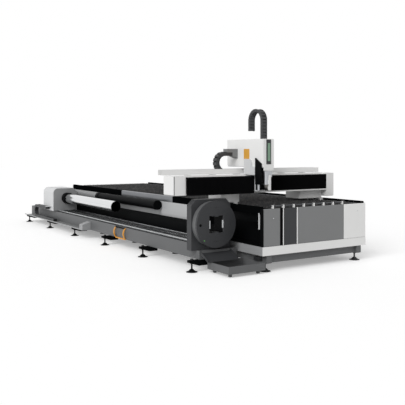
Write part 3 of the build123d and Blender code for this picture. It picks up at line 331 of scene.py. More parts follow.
def coated_cloth(name, colour, roughness, thread=3):
    """Coated woven cloth: the product of two crossed waves, one thread apart, raised by a bump."""
    material, tree, output = new_material(name)
    place = add_node(tree, "ShaderNodeTexCoord").outputs["Object"]
    wave_scale = WAVE_PERIOD / (thread * MILLIMETRE)
    warp, weft = [
        add_node(tree, "ShaderNodeTexWave", {"Vector": place, "Scale": wave_scale}, bands_direction=way)
        for way in "XZ"]
    weave = add_node(tree, "ShaderNodeMath", {0: warp.outputs["Fac"], 1: weft.outputs["Fac"]},
                     operation="MULTIPLY")
    tint = add_node(tree, "ShaderNodeMix", {
        MIX_FACTOR: weave.outputs["Value"], MIX_A: linear(colour),
        MIX_B: linear(shade(colour, THREAD_TINT))}, data_type="RGBA")
    bump = add_node(tree, "ShaderNodeBump", {
        "Height": weave.outputs["Value"], "Strength": 0.2, "Distance": THREAD_HEIGHT * MILLIMETRE})
    surface = add_node(tree, "ShaderNodeBsdfPrincipled", {
        "Base Color": tint.outputs[MIX_RESULT], "Roughness": roughness, "Normal": bump.outputs["Normal"],
        "Specular IOR Level": 0.08})
    tree.links.new(surface.outputs["BSDF"], output.inputs["Surface"])
    return material


bellows_cloth = coated_cloth("coated_bellows_cloth", "#070708", 0.60)
print("made", bellows_cloth.name)

# %% [markdown]
# ## Lamps and windows
# The head cover has a tall green window with a lit gauge behind it, and the chuck's face a small
# green lamp. Both are clear polycarbonate: glossy, with a little light of their own. The plate on the
# cover's side is enamelled, which is a coat with a finer peel.

# %% Window, lamp and enamel
FADE_TINT = 1.25


def lit_polycarbonate(name, colour, light, strength, fade=150):
    """Tinted polycarbonate, moulded glossy, lit from behind, with a slow fade, its size in mm."""
    material, tree, output = new_material(name)
    place = add_node(tree, "ShaderNodeTexCoord").outputs["Object"]
    slow = add_node(tree, "ShaderNodeTexNoise", {
        "Vector": place, "Scale": 1 / (fade * MILLIMETRE), "Detail": 1.0})
    tint = add_node(tree, "ShaderNodeMix", {
        MIX_FACTOR: slow.outputs["Fac"], MIX_A: linear(colour), MIX_B: linear(shade(colour, FADE_TINT))},
        data_type="RGBA")
    surface = add_node(tree, "ShaderNodeBsdfPrincipled", {
        "Base Color": tint.outputs[MIX_RESULT], "Roughness": 0.12, "Emission Color": linear(light),
        "Emission Strength": strength, "Coat Weight": 0.4})
    tree.links.new(surface.outputs["BSDF"], output.inputs["Surface"])
    return material


green_window = lit_polycarbonate("green_polycarbonate_window", "#617f69", "#6c8f76", 0.03)
lamp_green = lit_polycarbonate("green_lamp_lens", "#4c8a43", "#6fb35c", 0.08)
amber_enamel = powder_coat("amber_enamel_plate", "#d9a03a", 0.35, peel=6)
print("materials in all:", len(bpy.data.materials))

# %% [markdown]
# ## Finishes for the solid pieces
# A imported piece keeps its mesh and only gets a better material. The materials could be set piece by
# piece, but the list below goes finish by finish, so that it reads like the paint shop's sheet.

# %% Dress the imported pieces
JAW_COUNT = 4

finishes = {
    white_coat: [
        "skirt", "front_right_panel", "right_wall", "rear_wall", "left_end_cover", "right_end_cover",
        "left_saddle", "right_saddle", "cable_tray", "head_cover", "gantry_beam",
    ],
    light_grey_coat: ["carriage_plate", "rear_housing"],
    pale_grey_coat: ["left_wall"],
    stone_grey_coat: ["trough_wall"],
    mid_grey_coat: ["front_grey_panels", "trough_floor"],
    iron_grey_coat: ["tube_bed", "base_frame", "chuck_drum", "collecting_tray"],
    dark_grey_coat: [
        "front_dark_panel", "bed_floor", "right_rail_beam", "chuck_plate", "chuck_disc", "chute",
        "rear_carriage", "head_slide",
    ],
    black_coat: [
        "front_frame", "left_rail_beam", "dust_duct", "raised_beam", "tube_feet", "rear_hub",
        "slide_cover",
    ],
    matt_black_coat: ["left_guard_black", "right_guard"],
    guard_steel: ["left_guard_steel"],
    ground_steel: ["tube_rails"],
    shaft_steel: ["loading_shaft"],
    drawn_tube_steel: ["tube_stock"],
    slat_steel: ["slats"],
    foot_rubber: ["bed_feet"],
    orange_coat: ["guard_hoops"],
    bellows_cloth: ["left_bellows", "right_bellows"],
    chain_nylon: ["x_drag_chain", "z_chain_loop", "rear_drag_chain"],
    head_aluminium: ["laser_head"],
    nozzle_chrome: ["nozzle"],
}
finishes[dark_grey_coat] += [f"front_jaw_{k + 1}" for k in range(JAW_COUNT)]
finishes[black_coat] += [f"rear_jaw_{k + 1}" for k in range(JAW_COUNT)]

for material, names in finishes.items():
    for name in names:
        nodes[name].data.materials.clear()
        nodes[name].data.materials.append(material)
dressed = [name for names in finishes.values() for name in names]
print("dressed:", len(dressed), "left plain:", sorted(set(nodes) - set(dressed)))

# %% [markdown]
# ## Floor
# A studio sweep is a white floor that runs into a white wall. Here the floor is a large sheet of
# paper. It would come out grey under a plain light, so it also glows a little, but only to rays that
# come from the camera, off gloss or through glass. Matt faces get no light from the glow, and the
# machine's shadow stays on the paper.

# %% Floor
FLOOR_HALF = 60
FLOOR_LIFT = 0.31
PAPER_WHITE = "#f4f4f4"


def studio_ray(tree):
    """1 for rays from the camera, off gloss or through glass, which all meet the white studio, else 0."""
    path = add_node(tree, "ShaderNodeLightPath")
    camera_ray, gloss_ray, glass_ray = [
        path.outputs[f"Is {kind} Ray"] for kind in ("Camera", "Glossy", "Transmission")]
    seen = add_node(tree, "ShaderNodeMath", {0: camera_ray, 1: gloss_ray}, operation="MAXIMUM")
    any_ray = add_node(tree, "ShaderNodeMath", {0: seen.outputs["Value"], 1: glass_ray},
                       operation="MAXIMUM")
    return any_ray.outputs["Value"]


floor_mesh = bpy.data.meshes.new("floor")
floor_corners = np.array([(-1, -1, 0), (1, -1, 0), (1, 1, 0), (-1, 1, 0)], float) * FLOOR_HALF
floor_mesh.from_pydata(floor_corners.tolist(), [], [(0, 1, 2, 3)])
floor = bpy.data.objects.new("floor", floor_mesh)
bpy.context.scene.collection.objects.link(floor)

floor_paper, tree, output = new_material("white_studio_paper")
lift = add_node(tree, "ShaderNodeMath", {0: studio_ray(tree), 1: FLOOR_LIFT}, operation="MULTIPLY")
paper = add_node(tree, "ShaderNodeBsdfDiffuse", {"Color": linear(PAPER_WHITE)})
glow = add_node(tree, "ShaderNodeEmission", {"Strength": lift.outputs["Value"]})
both = add_node(tree, "ShaderNodeAddShader", {0: paper.outputs["BSDF"], 1: glow.outputs["Emission"]})
tree.links.new(both.outputs["Shader"], output.inputs["Surface"])
floor_mesh.materials.append(floor_paper)
print("floor:", 2 * FLOOR_HALF, "m square")

# %% [markdown]
# ## Light
# The world is white to the same rays as the floor's glow, and a weaker fill to all others. The main
# light is one very wide sun from the left, as soft as a wall of windows. Left faces come out almost
# white and front faces a step darker.

# %% World and sun
FILL_LEVEL = 0.44
SUN_FROM = (-0.75, -0.35, 0.55)
SUN_POWER = 1.85
SUN_WIDTH = 40

world = bpy.data.worlds.new("studio")
world.use_nodes = True
bpy.context.scene.world = world
tree = world.node_tree
tree.nodes.clear()
level = add_node(tree, "ShaderNodeMapRange", {
    "Value": studio_ray(tree), "To Min": FILL_LEVEL, "To Max": 1.0})
background = add_node(tree, "ShaderNodeBackground", {
    "Color": (1, 1, 1, 1), "Strength": level.outputs["Result"]})
add_node(tree, "ShaderNodeOutputWorld", {"Surface": background.outputs["Background"]})

sun = bpy.data.objects.new("wide_sun", bpy.data.lights.new("wide_sun", "SUN"))
bpy.context.scene.collection.objects.link(sun)
sun.data.energy = SUN_POWER
sun.data.angle = np.radians(SUN_WIDTH)
sun.rotation_euler = (-Vector(SUN_FROM)).to_track_quat("-Z", "Y").to_euler()
print("sun:", SUN_WIDTH, "degrees wide, fill:", FILL_LEVEL)

# %% [markdown]
# ## Boxes
# Each new piece is worked out as whole arrays of points, and of faces that name the points by number.
# Many fittings on this machine are plain boxes. The corners of a unit cube choose, coordinate by
# coordinate, between a low and a high corner, which makes any number of boxes at once.

# %% Boxes
CUBE_CORNERS = np.array([
    (0, 0, 0), (1, 0, 0), (1, 1, 0), (0, 1, 0), (0, 0, 1), (1, 0, 1), (1, 1, 1), (0, 1, 1)])
CUBE_FACES = np.array([
    (0, 3, 2, 1), (4, 5, 6, 7), (0, 1, 5, 4), (1, 2, 6, 5), (2, 3, 7, 6), (3, 0, 4, 7)])


def boxes(low, high):
    """Boxes from opposite corners: low where a unit cube's corner has a 0, high where it has a 1."""
    low, high = np.atleast_2d(low).astype(float), np.atleast_2d(high).astype(float)
    points = low[:, None] * (1 - CUBE_CORNERS) + high[:, None] * CUBE_CORNERS
    faces = CUBE_FACES + len(CUBE_CORNERS) * np.arange(len(low))[:, None, None]
    return points.reshape(-1, 3), faces.reshape(-1, 4).tolist()


print("a box has", len(boxes((0, 0, 0), (1, 1, 1))[1]), "faces")

# %% [markdown]
# ## Turned shapes
# Wheels, screws, feet and the duct's cap are round. On a lathe a profile is cut while the piece turns,
# and here the profile goes round the axis in steps. The points make a grid, rings one way and steps
# the other, and the faces are the grid's quads. Blender's screw modifier could turn a profile as well,
# but this leaves a plain mesh, which can be copied and joined.

# %% Turned shapes
NEARLY_UPRIGHT = 0.9


def grid_faces(rows, columns, close_rows=False, close_columns=False):
    """Quads of a grid of points, wrapping round where a direction is closed."""
    row = np.arange(rows if close_rows else rows - 1)[:, None]
    column = np.arange(columns if close_columns else columns - 1)
    next_row, next_column = (row + 1) % rows, (column + 1) % columns
    corners = [row * columns + column, next_row * columns + column,
               next_row * columns + next_column, row * columns + next_column]
    return np.stack(np.broadcast_arrays(*corners), -1).reshape(-1, 4).tolist()


def turned(profile, centre, axis, segments=64):
    """A turned shape: each (radius, along) pair gives centre + radius (cos, sin) + along x axis."""
    profile = np.asarray(profile, float)
    axis = np.asarray(axis, float)
    side = np.array([1.0, 0.0, 0.0] if abs(axis[2]) >= NEARLY_UPRIGHT else [0.0, 0.0, 1.0])
    first = np.cross(side, axis)
    second = np.cross(axis, first)
    angle = np.linspace(0, 2 * np.pi, segments, endpoint=False)
    spoke = np.cos(angle)[:, None] * first + np.sin(angle)[:, None] * second
    points = np.asarray(centre) + profile[:, 0, None, None] * spoke + profile[:, 1, None, None] * axis
    return points.reshape(-1, 3), grid_faces(len(profile), segments, close_columns=True)


print("a turned band has", len(turned([(1, 0), (1, 1)], (0, 0, 0), (0, 0, 1))[1]), "faces")

# %% [markdown]
# ## Plates
# Forks, the sides of chain links, slats and the bracket's sheath are plates of one thickness. A flat
# outline is drawn out both ways, with a quad along each edge and the outline itself in front and
# behind.

# %% Plates


def extruded(outline, depth):
    """A flat outline in x and z, given counter-clockwise, drawn out along y by half the depth each way."""
    outline = np.asarray(outline, float)
    count = len(outline)
    front = np.column_stack([outline[:, 0], np.full(count, -depth / 2), outline[:, 1]])
    points = np.concatenate([front, front + (0, depth, 0)])
    here = np.arange(count)
    after = (here + 1) % count
    sides = np.column_stack([here, here + count, after + count, after])[:, ::-1]
    return points, sides.tolist() + [here.tolist(), (here + count)[::-1].tolist()]


print("a three-sided plate has", len(extruded([(0, 0), (1, 0), (0, 1)], 1)[1]), "faces")

# %% [markdown]
# ## Copies and joins
# A machine repeats itself: links, slats, wheels, nuts. One small shape is carried to many places and
# directions at once, by multiplying its points with the three axes of each place. Joining makes one
# shape of several.

# %% Copies and joins


def copies(shape, places, frames=None):
    """One shape at many places: point = place + its x, y and z along the three rows of each frame."""
    points, faces = shape
    if frames is None:
        frames = np.broadcast_to(np.eye(3), (len(places), 3, 3))
    spread = np.asarray(places)[:, None] + np.einsum("pk,nkc->npc", points, frames)
    shift = len(points) * np.arange(len(spread))
    return spread.reshape(-1, 3), [[corner + move for corner in face] for move in shift for face in faces]


def joined(*shapes):
    """Several shapes as one, with the face numbers moved on by the points that come before."""
    points, faces, total = [], [], 0
    for shape_points, shape_faces in shapes:
        points.append(shape_points)
        faces += [[corner + total for corner in face] for face in shape_faces]
        total += len(shape_points)
    return np.concatenate(points), faces


two_boxes = copies(boxes((0, 0, 0), (1, 1, 1)), [(0, 0, 0), (2, 0, 0)])
print("two copies of a box have", len(two_boxes[0]), "points")

# %% [markdown]
# ## From shape to piece
# The last helper puts a shape into a mesh, gives it a finish and fixes it to the body that it moves
# with. A bevel modifier breaks the edges, since on real sheet metal every edge has a bright line.

# %% Pieces
TOUCHING = 1e-6
BEVEL_SEGMENTS = 2


def weld_and_face_out(mesh):
    """Merge points that lie on each other, as at a pole, and turn every face outwards."""
    work = bmesh.new()
    work.from_mesh(mesh)
    bmesh.ops.remove_doubles(work, verts=work.verts, dist=TOUCHING)
    bmesh.ops.recalc_face_normals(work, faces=work.faces)
    work.to_mesh(mesh)
    work.free()


def add_piece(name, shape, material, body, stands_for=(), bevel=0.0, smooth=False, weld=False):
    """Put a shape into a mesh, dress it, and fix it to its body. A bevel is given in metres."""
    points, faces = shape
    mesh = bpy.data.meshes.new(name)
    mesh.from_pydata(np.asarray(points).tolist(), [], faces)
    mesh.materials.append(material)
    if weld:
        weld_and_face_out(mesh)
    mesh.polygons.foreach_set("use_smooth", np.full(len(mesh.polygons), smooth))
    piece = bpy.data.objects.new(name, mesh)
    bpy.context.scene.collection.objects.link(piece)
    if bevel:
        edge = piece.modifiers.new("broken_edges", "BEVEL")
        edge.width = bevel
        edge.segments = BEVEL_SEGMENTS
        edge.limit_method = "ANGLE"
    if body:
        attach(piece, body)
    if stands_for:
        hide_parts(*stands_for)
    return piece


print("broken edges have", BEVEL_SEGMENTS, "segments")

# %% [markdown]
# ## Bellows
# The beam's rails hide behind a pleated cover of coated cloth, U-shaped across the beam. Its surface
# is a function of two parameters: one runs along the beam and makes the zigzag of the pleats, the
# other goes round the U. A cloth simulation could fold it too, but the folds of a bellows are sewn
# and even, which a formula gives exactly. Both ends are held, one by the beam and one by the carriage.

# %% Pleated bellows
PLEAT = 0.022
PLEAT_DEPTH = 0.026
STEPS_PER_PLEAT = 4
CLOTH_THICKNESS = 0.0015
# The left cover hangs lower and a little further out, over the beam's lower flange.
LEFT_SKIRT = (0, 0.032, 0.028)


def bellows_surface(low, high):
    """Zigzag along x: depth 0 on a fold's crest and PLEAT_DEPTH in its valley, on every side of the U."""
    pleats = round((high[0] - low[0]) / PLEAT)
    turn = np.linspace(0, pleats, pleats * STEPS_PER_PLEAT + 1)
    valley = 1 - 2 * np.abs(turn % 1 - 0.5)
    inset = PLEAT_DEPTH * valley
    along = low[0] + (high[0] - low[0]) * turn / pleats
    back = np.full_like(turn, high[1])
    front, bottom, top = low[1] + inset, low[2] + inset, high[2] - inset
    rim = [(back, bottom), (front, bottom), (front, top), (back, top)]
    points = np.stack([np.column_stack([along, depth, height]) for depth, height in rim], axis=1)
    return points.reshape(-1, 3), grid_faces(len(turn), len(rim))


def add_bellows(node, skirt=(0, 0, 0)):
    """One cover, stretched between the beam at its fixed end and the carriage at its moving end."""
    low, high = node_box(node)
    low = low - skirt
    cover = add_piece(node + "_cloth", bellows_surface(low, high), bellows_cloth, None,
                      stands_for=[node])
    cloth = cover.modifiers.new("cloth", "SOLIDIFY")
    cloth.thickness = CLOTH_THICKNESS
    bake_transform(cover)
    print(cover.name, "length:", round(high[0] - low[0], 3), "m")


add_bellows("left_bellows", LEFT_SKIRT)
add_bellows("right_bellows")

# %% [markdown]
# ## Path of a drag chain
# A drag chain carries cables to a moving part. It lies straight, goes round in a half turn and comes
# back straight. The path is a function of the distance along it, so every link knows its place and
# the direction it points in. An array modifier on a curve could lay out the links too, but it would
# bend them, and they are stiff.

# %% Chain path


def chain_path(distance, first, radius):
    """Place and heading on a straight run of length first, a half turn, and the run back, in a plane."""
    bend = np.pi * radius
    angle = np.clip((distance - first) / radius, 0, np.pi)
    run_out = np.minimum(distance, first)
    run_back = np.maximum(distance - first - bend, 0)
    along = run_out + radius * np.sin(angle) - run_back
    up = radius * (1 - np.cos(angle))
    return along, up, angle


print("a half turn of radius 1 m goes up", chain_path(np.pi, 0, 1)[1], "m")

# %% [markdown]
# ## Chain link
# Each link is a pair of side plates with round corners and two lids, with a narrow slot between one
# lid and the next. The cables inside are one plain box, since little is seen of them.

# %% Chain link
SIDE_LAP = 1.12
SIDE_ROUND = 0.22
LID_GAP = 0.24


def rounded_strip(length, height, radius, points=4):
    """A strip with four round corners, counter-clockwise: a quarter circle about each corner's centre."""
    quarter = np.linspace(0, np.pi / 2, points)
    angle = (quarter + np.pi / 2 * np.arange(4)[:, None]).ravel()
    corner = np.repeat([(1, 1), (-1, 1), (-1, -1), (1, -1)], points, axis=0)
    centre = corner * (length / 2 - radius, height / 2 - radius)
    return centre + radius * np.column_stack([np.cos(angle), np.sin(angle)])


def chain_link(pitch, height, width, plate=0.010, lid=0.007):
    """Two lapped side plates, two lids with a slot between one link's and the next, and cables inside."""
    side_points, side_faces = extruded(
        rounded_strip(pitch * SIDE_LAP, height, height * SIDE_ROUND), plate)
    reach = width / 2 - plate / 2
    sides = [(side_points + (0, reach * way, 0), side_faces) for way in (-1, 1)]
    half = np.array([pitch * (1 - LID_GAP) / 2, width / 2 - plate, lid / 2])
    rises = [(0, 0, height / 2 - lid), (0, 0, lid - height / 2)]
    lids = [boxes(rise - half, rise + half) for rise in rises]
    cables = np.array([pitch / 2, width / 2 - plate, height / 2 - 2 * lid])
    return joined(*sides, *lids, boxes(-cables, cables))


print("a chain link has", len(chain_link(1, 1, 1)[1]), "faces")

# %% [markdown]
# ## Links along the path
# The link is modelled once. Its copies are spaced evenly along the path, each turned to the heading
# there. The faces of the cables then get a material of their own.

# %% Links along the path


def chain_shape(link, pitch, length, first, radius, origin, along_axis, up_axis):
    """Links along the path: their x follows the heading, their y is the chain's width."""
    count = int(round(length / pitch))
    along, up, heading = chain_path((np.arange(count) + 0.5) * length / count, first, radius)
    along_axis, up_axis = np.array(along_axis, float), np.array(up_axis, float)
    places = np.asarray(origin) + along[:, None] * along_axis + up[:, None] * up_axis
    tangent = np.cos(heading)[:, None] * along_axis + np.sin(heading)[:, None] * up_axis
    normal = np.cos(heading)[:, None] * up_axis - np.sin(heading)[:, None] * along_axis
    width = np.cross(normal, tangent)
    return copies(link, places, np.stack([tangent, width, normal], axis=1))


def darken_cables(piece, link):
    """The last box of every link is its cables, so those faces get a material of their own."""
    link_faces = len(link[1])
    is_cable = np.arange(len(piece.data.polygons)) % link_faces >= link_faces - len(CUBE_FACES)
    piece.data.materials.append(cable_sheath)
    piece.data.polygons.foreach_set("material_index", is_cable.astype(np.int32))


print("faces of cable in each link:", len(CUBE_FACES))

# %% [markdown]
# ## Chain over the head cover
# The cables of the cutting head come up from the cover, go over in a half turn, and hang down to an
# open end. The whole loop rides on the carriage.

# %% Head chain
LOOP_HEIGHT, LOOP_PITCH, LOOP_WIDTH = 0.050, 0.050, 0.100
LOOP_DROP = 0.165

loop_low, loop_high = node_box("z_chain_loop")
loop_radius = (loop_high[1] - loop_low[1] - LOOP_HEIGHT) / 2
loop_rise = loop_high[2] - LOOP_HEIGHT / 2 - loop_radius - loop_low[2]
loop_start = ((loop_low[0] + loop_high[0]) / 2, loop_low[1] + LOOP_HEIGHT / 2, loop_low[2])
loop_length = loop_rise + np.pi * loop_radius + LOOP_DROP
loop_link = chain_link(LOOP_PITCH, LOOP_HEIGHT, LOOP_WIDTH)
loop = chain_shape(loop_link, LOOP_PITCH, loop_length, loop_rise, loop_radius, loop_start,
                   along_axis=(0, 0, 1), up_axis=(0, 1, 0))
loop_piece = add_piece("head_chain_links", loop, chain_nylon, "carriage",
                       stands_for=["z_chain_loop"])
darken_cables(loop_piece, loop_link)
print("head chain: radius", round(loop_radius, 3), "m")

# %% [markdown]
# ## Chain along the gantry
# The upper run hangs on the head cover's bracket, bends, and lies down in the tray behind the beam.
# The bend goes with the carriage. The run in the tray is held at its far end by the beam and at its near
# end by the carriage, and lies out of sight between the tray's walls.

# %% Gantry chain
RUN_HEIGHT, RUN_PITCH, RUN_WIDTH = 0.070, 0.058, 0.096
BRACKET_END = 0.228

run_low, run_high = node_box("x_drag_chain")
run_radius = (run_high[2] - run_low[2] - RUN_HEIGHT) / 2
run_y = (run_low[1] + run_high[1]) / 2
bend_x = run_low[0] + RUN_HEIGHT / 2 + run_radius
upper_start = bed_corner[0] + BRACKET_END
upper_place = (upper_start, run_y, run_high[2] - RUN_HEIGHT / 2)
upper_length = upper_start - bend_x
run_link = chain_link(RUN_PITCH, RUN_HEIGHT, RUN_WIDTH)
bend_run = chain_shape(run_link, RUN_PITCH, upper_length + np.pi * run_radius, upper_length, run_radius,
                       upper_place, along_axis=(-1, 0, 0), up_axis=(0, 0, -1))
bend_piece = add_piece("gantry_chain_bend", bend_run, chain_nylon, "carriage",
                       stands_for=["x_drag_chain"])
darken_cables(bend_piece, run_link)

tray_length = run_high[0] - bend_x
tray_place = (bend_x, run_y, run_low[2] + RUN_HEIGHT / 2)
tray_run = chain_shape(run_link, RUN_PITCH, tray_length, tray_length, run_radius,
                       tray_place, along_axis=(1, 0, 0), up_axis=(0, 0, 1))
tray_piece = add_piece("gantry_chain_run", tray_run, chain_nylon, None)
darken_cables(tray_piece, run_link)
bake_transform(tray_piece)
print("gantry chain: radius", round(run_radius, 3), "m")

# %% [markdown]
# ## Chain of the rear chuck
# This one lies in the long trough and turns up to an arm on the rear chuck. On the machine its lower run
# stays in the trough and its upper run goes with the chuck.

# %% Rear chain
REAR_HEIGHT, REAR_PITCH, REAR_WIDTH = 0.064, 0.074, 0.090
REAR_UPPER = 0.76

rear_low, rear_high = node_box("rear_drag_chain")
rear_radius = (rear_high[2] - rear_low[2] - REAR_HEIGHT) / 2
rear_bend = rear_high[1] - REAR_HEIGHT / 2 - rear_radius
rear_lower = rear_bend - rear_low[1]
rear_x = (rear_low[0] + rear_high[0]) / 2
rear_place = (rear_x, rear_low[1], rear_low[2] + REAR_HEIGHT / 2)
rear_length = rear_lower + np.pi * rear_radius + REAR_UPPER
rear_link = chain_link(REAR_PITCH, REAR_HEIGHT, REAR_WIDTH)
rear_run = chain_shape(rear_link, REAR_PITCH, rear_length, rear_lower, rear_radius, rear_place,
                       along_axis=(0, 1, 0), up_axis=(0, 0, 1))
rear_chain = add_piece("rear_chain_links", rear_run, chain_nylon, None,
                       stands_for=["rear_drag_chain"])
darken_cables(rear_chain, rear_link)
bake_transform(rear_chain)
print("rear chain: radius", round(rear_radius, 3), "m")

# %% [markdown]
# ## Slats
# The sheet lies on saw-toothed steel strips, so that the beam burns only the tips. The solid model
# has a few large teeth on each strip. Here the outline is a finer saw, tips up, drawn once and copied
# along the bed.

# %% Saw-toothed slats
TOOTH_PITCH = 0.036
TOOTH_HEIGHT = 0.020
SLAT_THICKNESS = 0.006
SLAT_COUNT = 45

slat_low, slat_high = node_box("slats")
slat_length = slat_high[0] - slat_low[0]
slat_height = slat_high[2] - slat_low[2]
tooth_count = round(slat_length / TOOTH_PITCH)
saw_x = np.linspace(slat_length, 0, 2 * tooth_count + 1)
saw_z = slat_height - TOOTH_HEIGHT * (np.arange(2 * tooth_count + 1) % 2 == 0)
outline = np.concatenate([[(0, 0), (slat_length, 0)], np.column_stack([saw_x, saw_z])])
slat_y = np.linspace(slat_low[1], slat_high[1] - SLAT_THICKNESS, SLAT_COUNT) + SLAT_THICKNESS / 2
slat_places = np.insert(np.full((SLAT_COUNT, 2), (slat_low[0], slat_low[2])), 1, slat_y, axis=1)
saw = copies(extruded(outline, SLAT_THICKNESS), slat_places)
add_piece("saw_toothed_slats", saw, slat_steel, "base", stands_for=["slats"])
print("slats:", SLAT_COUNT, "with", tooth_count, "teeth each")

# %% [markdown]
# ## Front of the bed
# The cover panels meet under pale trims, and a black strip closes the corner. Paint alone could show
# them, but real trims stand proud and catch the light, so they are thin boxes with broken edges, given
# by their spans from the bed's corner. The screws are turned: a profile of radius and height goes
# round the screw's axis.

# %% Trims, strips and screws


def bed_boxes(*spans):
    """Boxes from (x, y, z) spans, each a low and a high value measured from the bed's corner."""
    spans = np.asarray(spans, float)
    return boxes(from_bed(spans[:, :, 0]), from_bed(spans[:, :, 1]))


panel_low, panel_high = node_box("front_grey_panels")
panel_rise = (panel_low[2], panel_high[2])
TRIM_DEPTH = (-0.004, 0.010)
TRIM_SPANS = ((0.391, 0.407), (0.672, 0.688))
trims = bed_boxes(*[(span, TRIM_DEPTH, panel_rise) for span in TRIM_SPANS])
add_piece("front_trims", trims, white_coat, "base", bevel=2 * MILLIMETRE)

CORNER_X, CORNER_Y = (-0.002, 0.013), (-0.003, 0.055)
SEAM_X, SEAM_Y = (0.363, 0.391), (-0.002, 0.010)
strips = bed_boxes((CORNER_X, CORNER_Y, panel_rise), (SEAM_X, SEAM_Y, panel_rise))
add_piece("corner_strips", strips, black_coat, "base", bevel=MILLIMETRE)

# A grey sheet over the white skirt's left face, full length, paints the shade that falls on that face.
SIDE_SKIN = 0.002
skirt_low, skirt_high = node_box("skirt")
left_skirt_shade = boxes(skirt_low - (SIDE_SKIN, -SIDE_SKIN, -SIDE_SKIN),
                   (skirt_low[0] + SIDE_SKIN, skirt_high[1] - SIDE_SKIN, skirt_high[2]))
add_piece("left_skirt_painted_shade", left_skirt_shade, stone_grey_coat, "base")

SCREW_PLACES = ((0.207, 0, 0.807), (1.990, 0, 0.837))
SCREW_HEAD = ((0, 0.004), (0.006, 0.004), (0.008, 0.002), (0.008, 0))
screws = joined(*[
    turned(SCREW_HEAD, from_bed(place), (0, -1, 0), segments=24) for place in SCREW_PLACES])
add_piece("panel_screws", screws, ground_steel, "base", smooth=True, weld=True)
print("trims:", len(TRIM_SPANS), "screws:", len(SCREW_PLACES))

# %% [markdown]
# ## Loading rollers
# Sheets slide onto the bed over rubber wheels. One wheel is turned and copied along its steel shaft,
# and both turn together. An array modifier could make the row too. Here the places are a list of
# their own, because the forks in the next cell stand at the same ones.

# %% Roller wheels and shaft
ROLLER_COUNT = 8
FIRST_ROLLER, ROLLER_PITCH = 0.209, 0.207
WHEEL_RADIUS, WHEEL_WIDTH, WHEEL_START, WHEEL_EDGE = 0.032, 0.026, 0.011, 0.005
SHAFT_RADIUS = 0.008

shaft_low, shaft_high = node_box("loading_shaft")
shaft_axis = (shaft_low + shaft_high) / 2
roller_x = bed_corner[0] + FIRST_ROLLER + ROLLER_PITCH * np.arange(ROLLER_COUNT)
tread = WHEEL_RADIUS - WHEEL_EDGE
wheel_profile = [
    (SHAFT_RADIUS, 0), (tread, 0), (WHEEL_RADIUS, WHEEL_EDGE), (WHEEL_RADIUS, WHEEL_WIDTH - WHEEL_EDGE),
    (tread, WHEEL_WIDTH), (SHAFT_RADIUS, WHEEL_WIDTH)]
wheel = turned(wheel_profile, (WHEEL_START, 0, 0), (1, 0, 0), segments=40)
along_shaft = np.column_stack([roller_x, np.full((ROLLER_COUNT, 2), shaft_axis[1:])])
add_piece("roller_wheels", copies(wheel, along_shaft), wheel_rubber, "loading_rollers",
          stands_for=["loading_shaft"], smooth=True, weld=True)

shaft_length = shaft_high[0] - shaft_low[0]
shaft_profile = [(0, 0), (SHAFT_RADIUS, 0), (SHAFT_RADIUS, shaft_length), (0, shaft_length)]
shaft = turned(shaft_profile, (shaft_low[0], *shaft_axis[1:]), (1, 0, 0), segments=32)
add_piece("roller_shaft", shaft, shaft_steel, "loading_rollers", weld=True)
print("rollers:", ROLLER_COUNT)

# %% [markdown]
# ## Roller forks
# The shaft lies in a row of bright forks. A fork is an upright plate with a slot, so half its outline
# is drawn from the foot, mirrored, and drawn out across the shaft.

# %% Roller forks
FORK_HALF, FORK_SLOT, FORK_CHAMFER, FORK_THICKNESS = 0.019, 0.0084, 0.005, 0.018
FORK_FRAME = np.array([(0, 1, 0), (-1, 0, 0), (0, 0, 1)], float)

fork_foot = panel_high[2]
fork_top = node_box("front_frame")[1][2] + MILLIMETRE
fork_height = fork_top - fork_foot
slot_foot = shaft_axis[2] - SHAFT_RADIUS - fork_foot
half_fork = [
    (FORK_HALF, 0), (FORK_HALF, fork_height - FORK_CHAMFER), (FORK_HALF - FORK_CHAMFER, fork_height),
    (FORK_SLOT, fork_height), (FORK_SLOT, slot_foot)]
fork_outline = half_fork + [(-across, rise) for across, rise in half_fork[::-1]]
sideways = np.broadcast_to(FORK_FRAME, (ROLLER_COUNT, 3, 3))
fork_places = np.column_stack([roller_x, np.full((ROLLER_COUNT, 2), (shaft_axis[1], fork_foot))])
forks = copies(extruded(fork_outline, FORK_THICKNESS), fork_places, sideways)
add_piece("roller_forks", forks, white_coat, "base", bevel=MILLIMETRE)
print("forks:", ROLLER_COUNT, "height", round(fork_height, 3), "m")

# %% [markdown]
# ## Niche and left side
# Behind the front chuck the bed's side is open, dark inside, with a pale upright handle at its front
# edge. A second material on the walls would darken the niche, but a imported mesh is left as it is, so
# three thin plates line it.

# %% Niche lining and handle
NICHE_X, NICHE_Y = (0.0, 0.2198), (0.042, 2.0598)
LINING = 0.005
HANDLE_X, HANDLE_Y, HANDLE_RISE = (-0.002, 0.012), (0.076, 0.100), (0.645, 0.889)
HANDLE_FOOT_X, HANDLE_FOOT_RISE = (0.0, 0.045), (0.760, 0.870)

niche_rise = (panel_low[2] + 2 * MILLIMETRE, node_box("left_rail_beam")[0][2])
lining = bed_boxes(
    ((NICHE_X[1] - LINING, NICHE_X[1]), NICHE_Y, niche_rise),
    (NICHE_X, (NICHE_Y[1] - LINING, NICHE_Y[1]), niche_rise),
    (NICHE_X, NICHE_Y, (niche_rise[0] - MILLIMETRE, niche_rise[0] + LINING)))
add_piece("niche_lining", lining, black_coat, "base")
handle = bed_boxes((HANDLE_X, HANDLE_Y, HANDLE_RISE), (HANDLE_FOOT_X, HANDLE_Y, HANDLE_FOOT_RISE))
add_piece("side_handle", handle, light_grey_coat, "base", bevel=3 * MILLIMETRE)
print("niche height:", round(niche_rise[1] - niche_rise[0], 3), "m")

